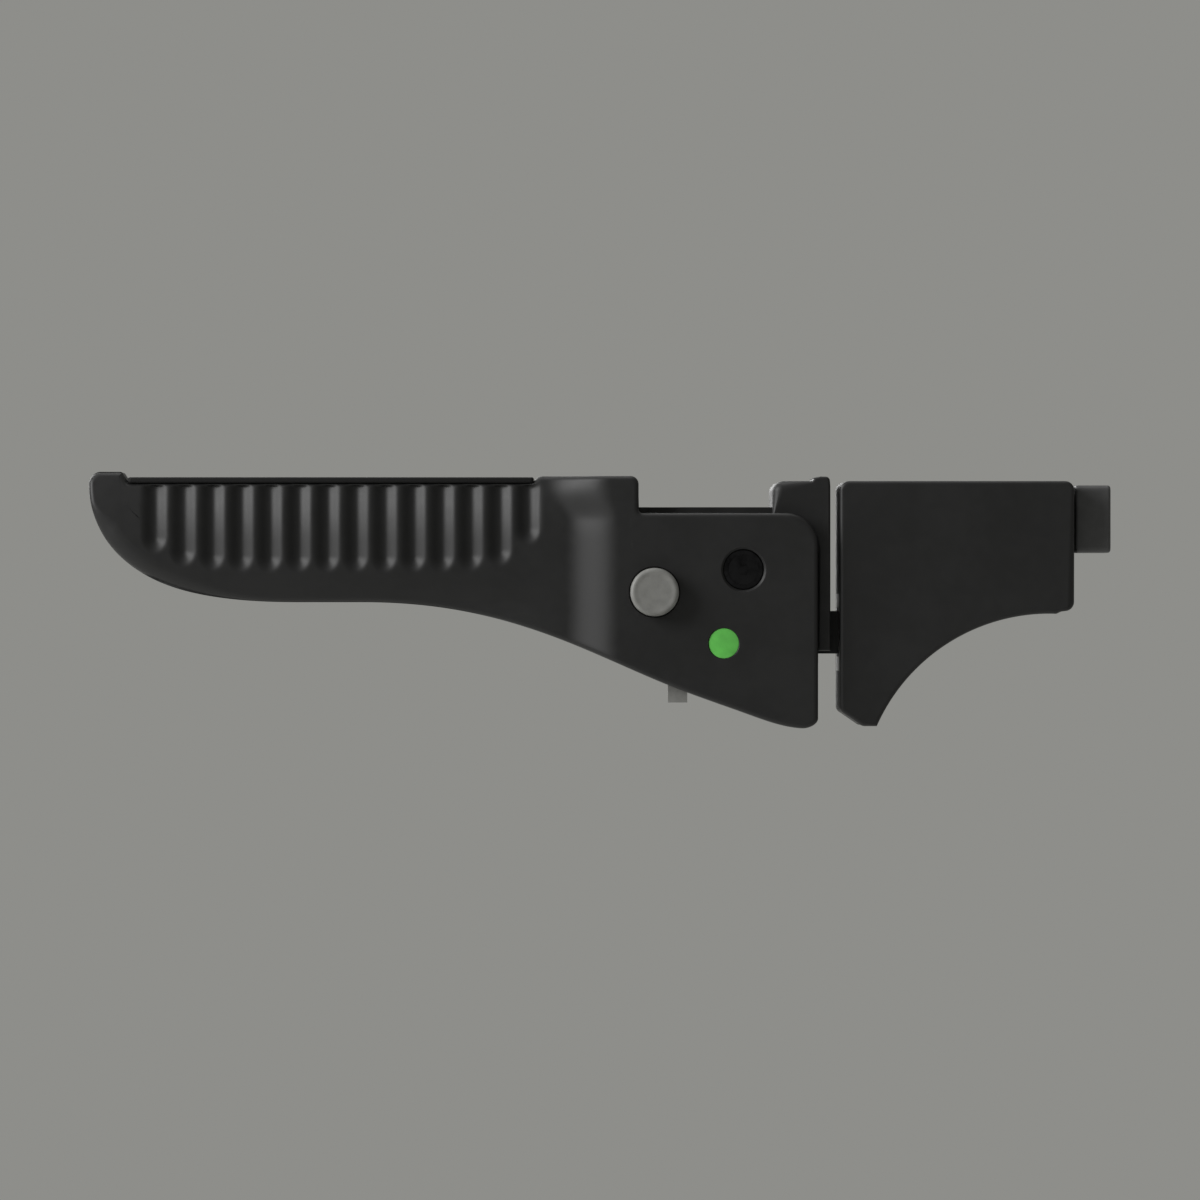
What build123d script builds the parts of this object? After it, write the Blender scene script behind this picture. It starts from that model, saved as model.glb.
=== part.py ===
"""Latch of a pressure-fitted stair gate: a lifting handle on the end of the gate's top rail that draws
a sprung bolt out of a keeper on the post beside it.

Millimetres. +X runs along the gate from the handle's grip to the keeper, +Y through the gate to its back
and +Z up. The origin is the centre of the lower mouth of the bore that clamps the gate's end bar.
Sketch coordinates are taken from the handle's pivot: side() draws in X and Z, plan() in X and Y and
across() in Y and Z.
"""

import math
import os

from build123d import *

os.makedirs("parts", exist_ok=True)

# The gate that the latch fits.
RAIL_WIDTH = 20.0
RAIL_HEIGHT = 10.0
RAIL_CENTRE_Z = 13.7  # above the pivot
BAR_DIAMETER = 8.0
POST_WIDTH = 48.0
POST_DEPTH = 25.0
SPINDLE_DIAMETER = 8.0
FIT = 0.15  # clearance round the rail and the post
SLIDE_FIT = 0.12  # clearance round the bolt
RUN_FIT = 0.05  # clearance round the shaft
PLAY = 0.4  # least gap between parts that swing past each other

# Where the pivot stands from the end bar.
PIVOT_X = 34.2
PIVOT_Z = 12.0

# Handle.
GRIP_REACH = 162.5  # pivot to tip
GRIP_HALF = 15.0
GRIP_WALL = 2.2
GRIP_ROOF = 21.5
ROOF_THICKNESS = 1.6
GRIP_BELLY = -8.1
BELLY_LENGTH = 16.0  # level stretch of the underside
TIP_SWEEP = 52.0  # how far the tip's curve runs back
TIP_WALL = 3.6
TIP_ROUND = 7.0
LIP_LENGTH = 9.5
LIP_TOP = 24.3
STRIP_THICKNESS = 1.5
BULGE_TOP = 23.2
BULGE_LENGTH = 25.8
HUB_BACK = -26.0  # right end of the closed roof
HUB_WALL = 2.5
HUB_DROP = 39.4
HUB_FRONT = 18.5
FLARE_LENGTH = 13.0
FLARE_END = -31.0
PANEL_TOP = 14.0
PANEL_CORNER = 8.0
PANEL_TOE = 2.5
TOE_TANGENT = (1, -0.05)
# Shares of the run and of the fall that the handle's two sweeps pass through.
DROP_SHAPE = ((0.0, 0.0), (0.23, 0.077), (0.45, 0.316), (0.68, 0.67), (0.845, 0.887), (0.965, 1.0))
NOSE_SHAPE = ((0.0, 0.0), (0.08, 0.47), (0.29, 0.79), (0.62, 0.96), (1.0, 1.0))
GUARD_TOP = 19.0
GUARD_FRONT = 1.7
GUARD_SLOPE = 3.4
GUARD_THICKNESS = 1.7
RIB_PITCH = 7.13
RIB_HEIGHT = 1.0
RIB_LOW = -0.7
RIB_MARGIN = 5.5  # smooth stretch between the tip's lip and the first valley
RIB_SPAN = 0.8  # part of the pitch that a valley takes
STRIP_MARGIN = 1.8

# Pivot, pinion and rack.
SHAFT_DIAMETER = 8.0
SHAFT_FLATS = 6.0
MODULE = 1.25
PINION_TEETH = 12
PRESSURE_ANGLE = 25.0
FLANK_STEPS = 5
ADDENDUM = 0.8 * MODULE
DEDENDUM = 1.0 * MODULE
BACKLASH = 0.12
PINION_HALF = 5.8
HANDLE_LIFT = 90.0
BUSH_WALL = 1.5
BUSH_FLANGE = 7.0
BUSH_FLANGE_THICKNESS = 1.0
PIVOT_BOSS = 7.5
COUNTERBORE = 5.1
COUNTERBORE_DEPTH = 4.9
PIVOT_SCREW = 2.0
PIVOT_SCREW_HEAD = 3.7
WASHER_RADIUS = 4.8
WASHER_THICKNESS = 0.8
SCREW_SOCKET = 1.5
CROSS_LENGTH = 1.3  # cross recess of a screw, in head radii
CROSS_WIDTH = 0.3
RECESS_DEPTH = 0.5  # in head heights

# Chassis.
CHASSIS_HALF = 13.0
CHEEK_GAP = 4.0  # room for the catch and the bosses beside the chassis
SLEEVE_WALL = 1.6
SLEEVE_LENGTH = 22.0
RAIL_STOP = -28.0
CHASSIS_BACK = -27.0
CHASSIS_TOP = 15.5
CHASSIS_WALL = 2.0
SHOULDER_X = 7.2
SHOULDER_Z = 12.5
BAR_WALL = 6.8
LUG_DEPTH = 9.5
CHAMBER_HALF = 6.2
CHAMBER_GAP = 0.9
BUSH_RECESS = 2.6
WINDOW_RADIUS = 3.6

# End plate.
PLATE_BACK = 18.7
PLATE_THICKNESS = 3.0
PLATE_OVERLAP = 1.5  # past each side of the chassis
PLATE_BOTTOM = -20.2
KNUCKLE_TOP = 22.0
KNUCKLE_ROUND = 2.6
KNUCKLE_SWEEP = 8.0
PLATE_LIP = 1.2
PLATE_LIP_LAND = 0.8  # in plate thicknesses

# Bolt and spring.
BOLT_HALF = 6.0
BOLT_HEIGHT = 10.6
BOLT_TOP = -10.3
BOLT_TAIL = -10.5
BOLT_THROW = 9.0  # reach past the keeper's face
BOLT_NOSE = 3.5
RACK_HALF = 5.3
SPRING_RADIUS = 2.6
SPRING_WIRE = 0.35
SPRING_TURNS = 12
SPRING_BORE = 3.3
SPRING_POCKET = 1.0
SPRING_FRONT = 13.0
SPRING_BACK = -23.5
FLAG_RADIUS = 3.2
FLAG_DEPTH = 1.2
FLAG_OFFSET = 1.8  # below the bolt's middle

# Release button, catch and lenses.
BUTTON_X = -22.1
BUTTON_Z = -5.6
BUTTON_RADIUS = 6.0
BUTTON_PROUD = 4.5
BUTTON_FLANGE = 7.0
BUTTON_FLANGE_THICKNESS = 1.2
BUTTON_FIT = 0.1
BUTTON_BEVEL = 0.7
LENS_X = -4.9
LENS_Z = -18.3
LENS_RADIUS = 3.8
LENS_FLANGE = 4.2
LENS_FLANGE_THICKNESS = 0.8
CATCH_X = -16.3
CATCH_HALF = 2.4
CATCH_BOTTOM = -33.0
CATCH_THICKNESS = 1.4
CATCH_PAD = 4.0
TORSION_Z = -14.5
TORSION_WIDTH = 1.8
TORSION_ENDS = (-28.0, -11.0)
TORSION_PAD = 2.5
HOOK_Z = -19.0
HOOK_HALF = 1.8
HOOK_REACH = 2.4
CATCH_SCREW = 0.9
CATCH_SCREW_HEAD = 1.9
CATCH_SCREW_HEAD_HEIGHT = 0.8
TOOTH_LEAD = 15.0  # degrees from the hook to the tooth that stops it
TOOTH_WIDTH = 2.4
TOOTH_HEIGHT = 1.4

# Keeper.
GATE_GAP = 2.3  # end plate to keeper
KEEPER_WALL = 5.0
KEEPER_CHEEK = 2.85
KEEPER_TOP = 22.0
KEEPER_ROOF = 3.5
KEEPER_DROP = 38.9
KEEPER_HEEL = -10.3
KEEPER_ROUND = 2.4
KEEPER_TOE = 2.2
KEEPER_LEDGE = 0.7
KEEPER_BOW_ALONG = 0.44  # where the sweep passes, as parts of the cheek's width and drop
KEEPER_BOW_DOWN = 0.28
TOE_RUN = 5.0
TOE_RISE = 4.0
CUP_WALL = 1.3
CUP_FLANGE = 1.2
CUP_BRIM = 2.2
POST_SCREW_RADIUS = 2.25
POST_SCREW_Z = 2.0
BLOCK_REACH = 8.8
BLOCK_GROOVE = 0.6
BLOCK_HALF = 9.0
BLOCK_HEIGHT = 16.8
BLOCK_NECK = 6.5
BLOCK_ROUND = 1.2
BLOCK_CENTRE = 12.6
KEEPER_ARC_INSET = 4.5
KEEPER_ARC_FOOT = 9.2

# Screws of the chassis.
CASE_SCREW = 1.5
CASE_SCREW_HEAD = 2.8
CASE_SCREW_HEAD_HEIGHT = 1.8
CASE_SCREW_TIP = 2.9  # short of the sleeve's front face
CASE_SCREW_SEAT = 3.4  # below the sleeve's rear face
CASE_SCREW_PLACES = ((-17.5, 9.0), (13.2, 8.6), (-45.5, 2.6), (-26.8, -6.0))
PLATE_SCREW_PLACES = ((-9.9, -4.0), (9.9, -4.0))
PLATE_SCREW_LENGTH = 10.0

# Places that follow from the sizes above.
PITCH_RADIUS = MODULE * PINION_TEETH / 2
HUB_HALF = CHASSIS_HALF + CHEEK_GAP + HUB_WALL
COUNTERBORE_FLOOR = HUB_HALF - COUNTERBORE_DEPTH
BUSH_SEAT = CHASSIS_HALF - BUSH_RECESS
PLATE_HALF = CHASSIS_HALF + PLATE_OVERLAP
SLEEVE_HALF = GRIP_HALF - GRIP_WALL - PLAY
SCREW_TIP = SLEEVE_HALF - CASE_SCREW_TIP
SCREW_SEAT = SLEEVE_HALF - CASE_SCREW_SEAT
PLATE_FRONT = PLATE_BACK + PLATE_THICKNESS
KEEPER_LEFT = PLATE_FRONT + GATE_GAP
POCKET_LEFT = KEEPER_LEFT + KEEPER_WALL
POCKET_RIGHT = POCKET_LEFT + POST_WIDTH + 2 * FIT
KEEPER_RIGHT = POCKET_RIGHT + KEEPER_WALL
POCKET_HALF = POST_DEPTH / 2 + FIT
KEEPER_HALF = POCKET_HALF + KEEPER_CHEEK
BOLT_TIP = KEEPER_LEFT + BOLT_THROW
BOLT_BOTTOM = BOLT_TOP - BOLT_HEIGHT
BOLT_CENTRE = BOLT_TOP - BOLT_HEIGHT / 2
SOCKET_HALF = RAIL_WIDTH / 2 + FIT
SOCKET_TOP = RAIL_CENTRE_Z + RAIL_HEIGHT / 2 + FIT
SOCKET_BOTTOM = RAIL_CENTRE_Z - RAIL_HEIGHT / 2 - FIT
SLEEVE_BACK = RAIL_STOP - SLEEVE_LENGTH
BAR_X = -PIVOT_X
BAR_BOTTOM = -PIVOT_Z
LIP_BACK = LIP_LENGTH - GRIP_REACH
BULGE_BACK = HUB_BACK - BULGE_LENGTH
FLARE_START = FLARE_END - FLARE_LENGTH
CHEEK_INNER = HUB_HALF - HUB_WALL
GRIP_INNER = GRIP_HALF - GRIP_WALL
CHASSIS_BOTTOM = BOLT_BOTTOM - SLIDE_FIT - CHASSIS_WALL
CATCH_OUTER = CHEEK_INNER - BUTTON_FLANGE_THICKNESS - 0.1
CATCH_INNER = CATCH_OUTER - CATCH_THICKNESS
BOSS_FACE = BUSH_SEAT + BUSH_FLANGE_THICKNESS + PLAY / 2
GRIP_NOTCH = SOCKET_HALF + 2 * PLAY
VALLEY_RADIUS = (RIB_PITCH ** 2 / 4 * RIB_SPAN + RIB_HEIGHT ** 2) / (2 * RIB_HEIGHT)
CUP_HALF = BOLT_HALF + 2 * PLAY + CUP_WALL
CUP_TOP = BOLT_TOP + 2 * PLAY + CUP_WALL
CUP_BOTTOM = BOLT_TOP - BOLT_HEIGHT - 2 * PLAY - CUP_WALL
GROOVE_FLOOR = CATCH_INNER - HOOK_REACH - PLAY
REACH = 400.0  # longer than anything that a cut has to clear


def side(y=0.0):
    """Upright plane along the gate at depth y, facing the front."""
    return Plane(origin=(PIVOT_X, y, PIVOT_Z), x_dir=(1, 0, 0), z_dir=(0, -1, 0))


def plan(z=0.0):
    """Level plane at height z, facing up."""
    return Plane(origin=(PIVOT_X, 0, PIVOT_Z + z), x_dir=(1, 0, 0), z_dir=(0, 0, 1))


def across(x=0.0):
    """Upright plane across the gate at x, facing the keeper."""
    return Plane(origin=(PIVOT_X + x, 0, PIVOT_Z), x_dir=(0, 1, 0), z_dir=(1, 0, 0))


def span(low, high):
    """Length and middle of a stretch, for a rectangle."""
    return high - low, (high + low) / 2


def rectangle(x_low, x_high, y_low, y_high, mode=Mode.ADD):
    """Puts a rectangle between four limits in the sketch."""
    width, middle_x = span(x_low, x_high)
    height, middle_y = span(y_low, y_high)
    with Locations((middle_x, middle_y)):
        Rectangle(width, height, mode=mode)


def save(part, name):
    """Labels a finished piece and writes it."""
    part.part.label = name
    export_step(part.part, f"parts/{name}.step")


# Chassis: two halves that meet on the middle plane and clamp the rail and the end bar.
def chassis_half(outward):
    """One half, outward 1 for the front and -1 for the rear."""
    with BuildPart() as half:
        with BuildSketch(side()):
            rectangle(CHASSIS_BACK, PLATE_BACK, CHASSIS_BOTTOM, SHOULDER_Z)
            rectangle(CHASSIS_BACK, SHOULDER_X, SHOULDER_Z, CHASSIS_TOP)
        extrude(amount=outward * CHASSIS_HALF)
        with BuildSketch(side()):
            rectangle(SLEEVE_BACK, CHASSIS_BACK, SOCKET_BOTTOM - SLEEVE_WALL, SOCKET_TOP + SLEEVE_WALL)
            rectangle(BAR_X - BAR_WALL, CHASSIS_BACK, BAR_BOTTOM, SOCKET_BOTTOM)
            rectangle(SLEEVE_BACK, BAR_X, SOCKET_BOTTOM - LUG_DEPTH, SOCKET_BOTTOM)
        extrude(amount=outward * SLEEVE_HALF)
        with BuildSketch(side()):
            rectangle(SLEEVE_BACK, RAIL_STOP, SOCKET_BOTTOM, SOCKET_TOP)
        extrude(amount=outward * SOCKET_HALF, mode=Mode.SUBTRACT)
        with BuildSketch(plan(BAR_BOTTOM)):
            with Locations((BAR_X, 0)):
                Circle(BAR_DIAMETER / 2)
        extrude(amount=SOCKET_BOTTOM - BAR_BOTTOM, mode=Mode.SUBTRACT)
        with BuildSketch(side()):
            Circle(PITCH_RADIUS + ADDENDUM + CHAMBER_GAP)
        extrude(amount=outward * CHAMBER_HALF, mode=Mode.SUBTRACT)
        with BuildSketch(side()):
            rack_low = BOLT_TOP - SLIDE_FIT
            rack_high = ADDENDUM - PITCH_RADIUS + SLIDE_FIT
            rectangle(SPRING_BACK, PLATE_BACK, BOLT_BOTTOM - SLIDE_FIT, BOLT_TOP + SLIDE_FIT)
            rectangle(SPRING_BACK + CHASSIS_WALL, PLATE_BACK - CHASSIS_WALL, rack_low, rack_high)
        extrude(amount=outward * (BOLT_HALF + SLIDE_FIT), mode=Mode.SUBTRACT)
        with BuildSketch(across(SPRING_BACK)):
            with Locations((0, BOLT_CENTRE)):
                Circle(SPRING_BORE)
        extrude(amount=-SPRING_POCKET, mode=Mode.SUBTRACT)
        with BuildSketch(side()):
            Circle(SHAFT_DIAMETER / 2 + RUN_FIT + BUSH_WALL)
        extrude(amount=outward * BUSH_SEAT, mode=Mode.SUBTRACT)
        with BuildSketch(side(-outward * BUSH_SEAT)):
            Circle(PIVOT_BOSS + 2 * PLAY)
        extrude(amount=outward * CHASSIS_HALF, mode=Mode.SUBTRACT)
        with BuildSketch(side()):
            with Locations((LENS_X, LENS_Z)):
                Circle(WINDOW_RADIUS)
        extrude(amount=outward * REACH, mode=Mode.SUBTRACT)
        with BuildSketch(side()):
            with Locations(*CASE_SCREW_PLACES):
                Circle(CASE_SCREW)
        extrude(amount=outward * SCREW_TIP, mode=Mode.SUBTRACT)
        if outward < 0:
            with BuildSketch(side(SCREW_SEAT)):
                with Locations(*CASE_SCREW_PLACES):
                    Circle(CASE_SCREW_HEAD + FIT)
            extrude(amount=-REACH, mode=Mode.SUBTRACT)
        else:
            hook_radius = math.hypot(CATCH_X, HOOK_Z)
            hook_angle = math.degrees(math.atan2(HOOK_Z, CATCH_X))
            groove = HOOK_HALF * math.sqrt(2) + PLAY
            with BuildSketch(side(-GROOVE_FLOOR)):
                Circle(hook_radius + groove)
                Circle(hook_radius - groove, mode=Mode.SUBTRACT)
                rectangle(-REACH, CATCH_X + groove, -REACH, REACH, mode=Mode.INTERSECT)
            extrude(amount=REACH, mode=Mode.SUBTRACT)
            with BuildSketch(side(-GROOVE_FLOOR)):
                with PolarLocations(hook_radius, 1, start_angle=hook_angle - TOOTH_LEAD):
                    Rectangle(2 * groove, TOOTH_WIDTH)
            extrude(amount=TOOTH_HEIGHT)
        with BuildSketch(across(PLATE_BACK)):
            with Locations(*PLATE_SCREW_PLACES):
                Circle(CASE_SCREW)
        extrude(amount=-PLATE_SCREW_LENGTH, mode=Mode.SUBTRACT)
    return half


def pan_screws(seats, radius, length, head_radius, head_height, socket=0.0):
    """Pan-head screws: shanks run along each seat's normal and heads stand behind it."""
    with BuildPart() as screws:
        for plane, places in seats:
            with BuildSketch(plane):
                with Locations(*places):
                    Circle(radius)
            extrude(amount=length)
            with BuildSketch(plane):
                with Locations(*places):
                    Circle(head_radius)
            extrude(amount=-head_height)
            with BuildSketch(plane.offset(-head_height)):
                with Locations(*places):
                    if socket:
                        RegularPolygon(socket, 6)
                    else:
                        Rectangle(CROSS_LENGTH * head_radius, CROSS_WIDTH * head_radius)
                        Rectangle(CROSS_WIDTH * head_radius, CROSS_LENGTH * head_radius)
            extrude(amount=RECESS_DEPTH * head_height, mode=Mode.SUBTRACT)
    return screws


def chassis_screws():
    """Four screws that pull the two halves together, driven from the back."""
    length = SCREW_SEAT + SCREW_TIP - PLAY
    seats = [(side(SCREW_SEAT), CASE_SCREW_PLACES)]
    return pan_screws(seats, CASE_SCREW, length, CASE_SCREW_HEAD, CASE_SCREW_HEAD_HEIGHT)


def end_plate():
    """Plate with a hood that closes the chassis at the keeper's end, slotted for the bolt."""
    with BuildPart() as plate:
        with BuildSketch(side(PLATE_HALF)):
            with BuildLine():
                Polyline(
                    (SHOULDER_X + KNUCKLE_ROUND, KNUCKLE_TOP),
                    (PLATE_FRONT - PLATE_LIP - PLATE_THICKNESS, KNUCKLE_TOP),
                    (PLATE_FRONT - PLATE_LIP_LAND * PLATE_THICKNESS - PLATE_LIP, KNUCKLE_TOP + PLATE_LIP),
                    (PLATE_FRONT - PLATE_LIP, KNUCKLE_TOP + PLATE_LIP),
                    (PLATE_FRONT, KNUCKLE_TOP),
                    (PLATE_FRONT, PLATE_BOTTOM),
                    (PLATE_BACK, PLATE_BOTTOM),
                    (PLATE_BACK, SHOULDER_Z - KNUCKLE_SWEEP),
                )
                RadiusArc((PLATE_BACK, SHOULDER_Z - KNUCKLE_SWEEP),
                          (PLATE_BACK - KNUCKLE_SWEEP, SHOULDER_Z), KNUCKLE_SWEEP)
                Polyline((PLATE_BACK - KNUCKLE_SWEEP, SHOULDER_Z), (SHOULDER_X, SHOULDER_Z),
                         (SHOULDER_X, KNUCKLE_TOP - KNUCKLE_ROUND))
                RadiusArc((SHOULDER_X, KNUCKLE_TOP - KNUCKLE_ROUND),
                          (SHOULDER_X + KNUCKLE_ROUND, KNUCKLE_TOP), KNUCKLE_ROUND)
            make_face()
        extrude(amount=2 * PLATE_HALF)
        with BuildSketch(side(CHASSIS_HALF)):
            rectangle(0, PLATE_BACK, -REACH, SHOULDER_Z)
        extrude(amount=2 * CHASSIS_HALF, mode=Mode.SUBTRACT)
        slot_half = BOLT_HALF + 2 * SLIDE_FIT
        with BuildSketch(across(PLATE_BACK)):
            rectangle(-slot_half, slot_half, -REACH, BOLT_TOP + 2 * SLIDE_FIT)
        extrude(amount=REACH, mode=Mode.SUBTRACT)
        with BuildSketch(across(PLATE_BACK)):
            with Locations(*PLATE_SCREW_PLACES):
                Circle(CASE_SCREW + FIT)
        extrude(amount=REACH, mode=Mode.SUBTRACT)
        with BuildSketch(across(PLATE_FRONT - CASE_SCREW_HEAD_HEIGHT)):
            with Locations(*PLATE_SCREW_PLACES):
                Circle(CASE_SCREW_HEAD + FIT)
        extrude(amount=REACH, mode=Mode.SUBTRACT)
        fillet(plate.edges().filter_by(Axis.X).group_by(Axis.Z)[-1], radius=PLATE_LIP / 2)
    return plate


def end_plate_screws():
    """Two screws that hold the end plate, one in each half of the chassis."""
    seat = PLATE_FRONT - CASE_SCREW_HEAD_HEIGHT
    facing_in = Plane(origin=across(seat).origin, x_dir=(0, -1, 0), z_dir=(-1, 0, 0))
    places = [(-y, z) for y, z in PLATE_SCREW_PLACES]
    length = seat - PLATE_BACK + PLATE_SCREW_LENGTH - PLAY
    return pan_screws([(facing_in, places)], CASE_SCREW, length, CASE_SCREW_HEAD, CASE_SCREW_HEAD_HEIGHT)


def shaft_bush(outward):
    """Flanged plastic bush in one half of the chassis."""
    with BuildPart() as bush:
        with BuildSketch(side(-outward * CHAMBER_HALF)):
            Circle(SHAFT_DIAMETER / 2 + RUN_FIT + BUSH_WALL)
        extrude(amount=outward * (BUSH_SEAT - CHAMBER_HALF))
        with BuildSketch(side(-outward * BUSH_SEAT)):
            Circle(BUSH_FLANGE)
        extrude(amount=outward * BUSH_FLANGE_THICKNESS)
        with BuildSketch(side()):
            Circle(SHAFT_DIAMETER / 2 + RUN_FIT)
        extrude(amount=outward * REACH, mode=Mode.SUBTRACT)
    return bush


def flatted(diameter, flats):
    """Sketch of a circle with two flats, for the shaft and the holes that it drives."""
    with BuildSketch() as shape:
        Circle(diameter / 2)
        rectangle(-diameter, diameter, -flats / 2, flats / 2, mode=Mode.INTERSECT)
    return shape.sketch


def pivot_shaft():
    """Shaft with two flats, tapped at both ends."""
    section = flatted(SHAFT_DIAMETER, SHAFT_FLATS)
    half = COUNTERBORE_FLOOR - PLAY / 2
    with BuildPart() as shaft:
        with BuildSketch(side(half)):
            add(section)
            Circle(PIVOT_SCREW, mode=Mode.SUBTRACT)
        extrude(amount=2 * half)
        with BuildSketch(side(CHAMBER_HALF)):
            Circle(PIVOT_SCREW)
        extrude(amount=2 * CHAMBER_HALF)
    return shaft


def gear_flank(pitch_radius, teeth):
    """Points of an involute flank from the root to the tip, to the right of a tooth on the +Y axis."""
    pressure = math.radians(PRESSURE_ANGLE)
    base = pitch_radius * math.cos(pressure)
    tip = pitch_radius + ADDENDUM
    half_tooth = (math.pi * MODULE / 2 - BACKLASH) / (2 * pitch_radius)
    involute_at_pitch = math.tan(pressure) - pressure
    points = []
    for step in range(FLANK_STEPS + 1):
        radius = base + (tip - base) * step / FLANK_STEPS
        roll = math.acos(min(1.0, base / radius))
        angle = half_tooth + involute_at_pitch - (math.tan(roll) - roll)
        points.append((radius * math.sin(angle), radius * math.cos(angle)))
    return points


def gear_tooth(flank, foot):
    """Sketch of one tooth on the +Y axis, down to the radius foot."""
    mirrored = [(-x, y) for x, y in flank]
    with BuildSketch() as tooth:
        with BuildLine():
            Spline(*flank)
            Line(flank[-1], mirrored[-1])
            Spline(*mirrored)
            Polyline(mirrored[0], (mirrored[0][0], foot), (flank[0][0], foot), flank[0])
        make_face()
    return tooth.sketch


def drive_pinion():
    """Spur pinion on the shaft, meshing with the rack on the bolt."""
    tooth = gear_tooth(gear_flank(PITCH_RADIUS, PINION_TEETH), PITCH_RADIUS - 2 * DEDENDUM)
    bore = flatted(SHAFT_DIAMETER + 2 * RUN_FIT, SHAFT_FLATS + 2 * RUN_FIT)
    with BuildPart() as pinion:
        with BuildSketch(side(PINION_HALF)):
            Circle(PITCH_RADIUS - DEDENDUM)
            with PolarLocations(0, PINION_TEETH):
                add(tooth)
            add(bore, mode=Mode.SUBTRACT)
        extrude(amount=2 * PINION_HALF)
    return pinion


def rack_outline(first, count):
    """Closed outline of the rack's teeth: straight flanks at the pressure angle, spaces under the pivot."""
    pitch = math.pi * MODULE
    lean = math.tan(math.radians(PRESSURE_ANGLE))
    half_tooth = pitch / 4 - BACKLASH / 2
    tip, root = ADDENDUM - PITCH_RADIUS, -DEDENDUM - PITCH_RADIUS
    half_tip = half_tooth - ADDENDUM * lean
    half_root = half_tooth + DEDENDUM * lean
    points = []
    for index in range(first, first + count):
        middle = (index + 0.5) * pitch
        points += [(middle - half_root, root), (middle - half_tip, tip)]
        points += [(middle + half_tip, tip), (middle + half_root, root)]
    foot = BOLT_TOP - DEDENDUM
    return [(points[0][0], foot)] + points + [(points[-1][0], foot)]


def rack_teeth():
    """Number of rack teeth that keep the pinion in mesh over the handle's whole lift."""
    stroke = PITCH_RADIUS * math.radians(HANDLE_LIFT)
    return 2 + math.ceil(stroke / (math.pi * MODULE))


def bolt():
    """Square bolt with a rack on top, a bore for its spring and a socket in each side for its flag."""
    outline = rack_outline(-1, rack_teeth())
    with BuildPart() as body:
        with BuildSketch(side(BOLT_HALF)):
            rectangle(BOLT_TAIL, BOLT_TIP, BOLT_BOTTOM, BOLT_TOP)
        extrude(amount=2 * BOLT_HALF)
        tip = body.edges().filter_by(Axis.Z).group_by(Axis.X)[-1]
        fillet(tip, radius=BOLT_NOSE)
        with BuildSketch(side(RACK_HALF)):
            with BuildLine():
                Polyline(*outline, close=True)
            make_face()
        extrude(amount=2 * RACK_HALF)
        with BuildSketch(across(BOLT_TAIL)):
            with Locations((0, BOLT_CENTRE)):
                Circle(SPRING_BORE)
        extrude(amount=SPRING_FRONT - BOLT_TAIL, mode=Mode.SUBTRACT)
        for outward in (1, -1):
            with BuildSketch(side(-outward * (BOLT_HALF - FLAG_DEPTH))):
                with Locations((LENS_X, BOLT_CENTRE - FLAG_OFFSET)):
                    Circle(FLAG_RADIUS)
            extrude(amount=outward * REACH, mode=Mode.SUBTRACT)
    return body


def bolt_flags():
    """Two white discs in the bolt's sides, behind the lenses while it is thrown."""
    with BuildPart() as flags:
        for outward in (1, -1):
            with BuildSketch(side(-outward * (BOLT_HALF - FLAG_DEPTH))):
                with Locations((LENS_X, BOLT_CENTRE - FLAG_OFFSET)):
                    Circle(FLAG_RADIUS)
            extrude(amount=outward * FLAG_DEPTH)
    return flags


def bolt_spring():
    """Compression spring between the chassis and the bottom of the bolt's bore."""
    low = SPRING_BACK - SPRING_POCKET + SPRING_WIRE
    length = SPRING_FRONT - SPRING_WIRE - low
    start = (PIVOT_X + low, 0, PIVOT_Z + BOLT_CENTRE)
    with BuildPart() as spring:
        with BuildLine() as line:
            Helix(length / SPRING_TURNS, length, SPRING_RADIUS, center=start, direction=(1, 0, 0))
        with BuildSketch(Plane(origin=line.line @ 0, z_dir=line.line % 0)):
            Circle(SPRING_WIRE)
        sweep(path=line.line, is_frenet=True)
    return spring


def sway(start, end):
    """Adds a level-ended curve from one point to another."""
    Spline(start, end, tangents=((1, 0), (1, 0)))


def handle_plan(tip, grip_half, hub_half, corner):
    """Face seen from above: a rounded tip, a straight grip and a flare out to the hub."""
    with BuildSketch() as face:
        with BuildLine():
            for s in (1, -1):
                Line((tip, 0), (tip, s * (grip_half - corner)))
                TangentArc((tip, s * (grip_half - corner)), (tip + corner, s * grip_half), tangent=(0, s))
                Line((tip + corner, s * grip_half), (FLARE_START, s * grip_half))
                sway((FLARE_START, s * grip_half), (FLARE_END, s * hub_half))
                Line((FLARE_END, s * hub_half), (REACH, s * hub_half))
                Line((REACH, s * hub_half), (REACH, 0))
        make_face()
    return face.sketch


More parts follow.
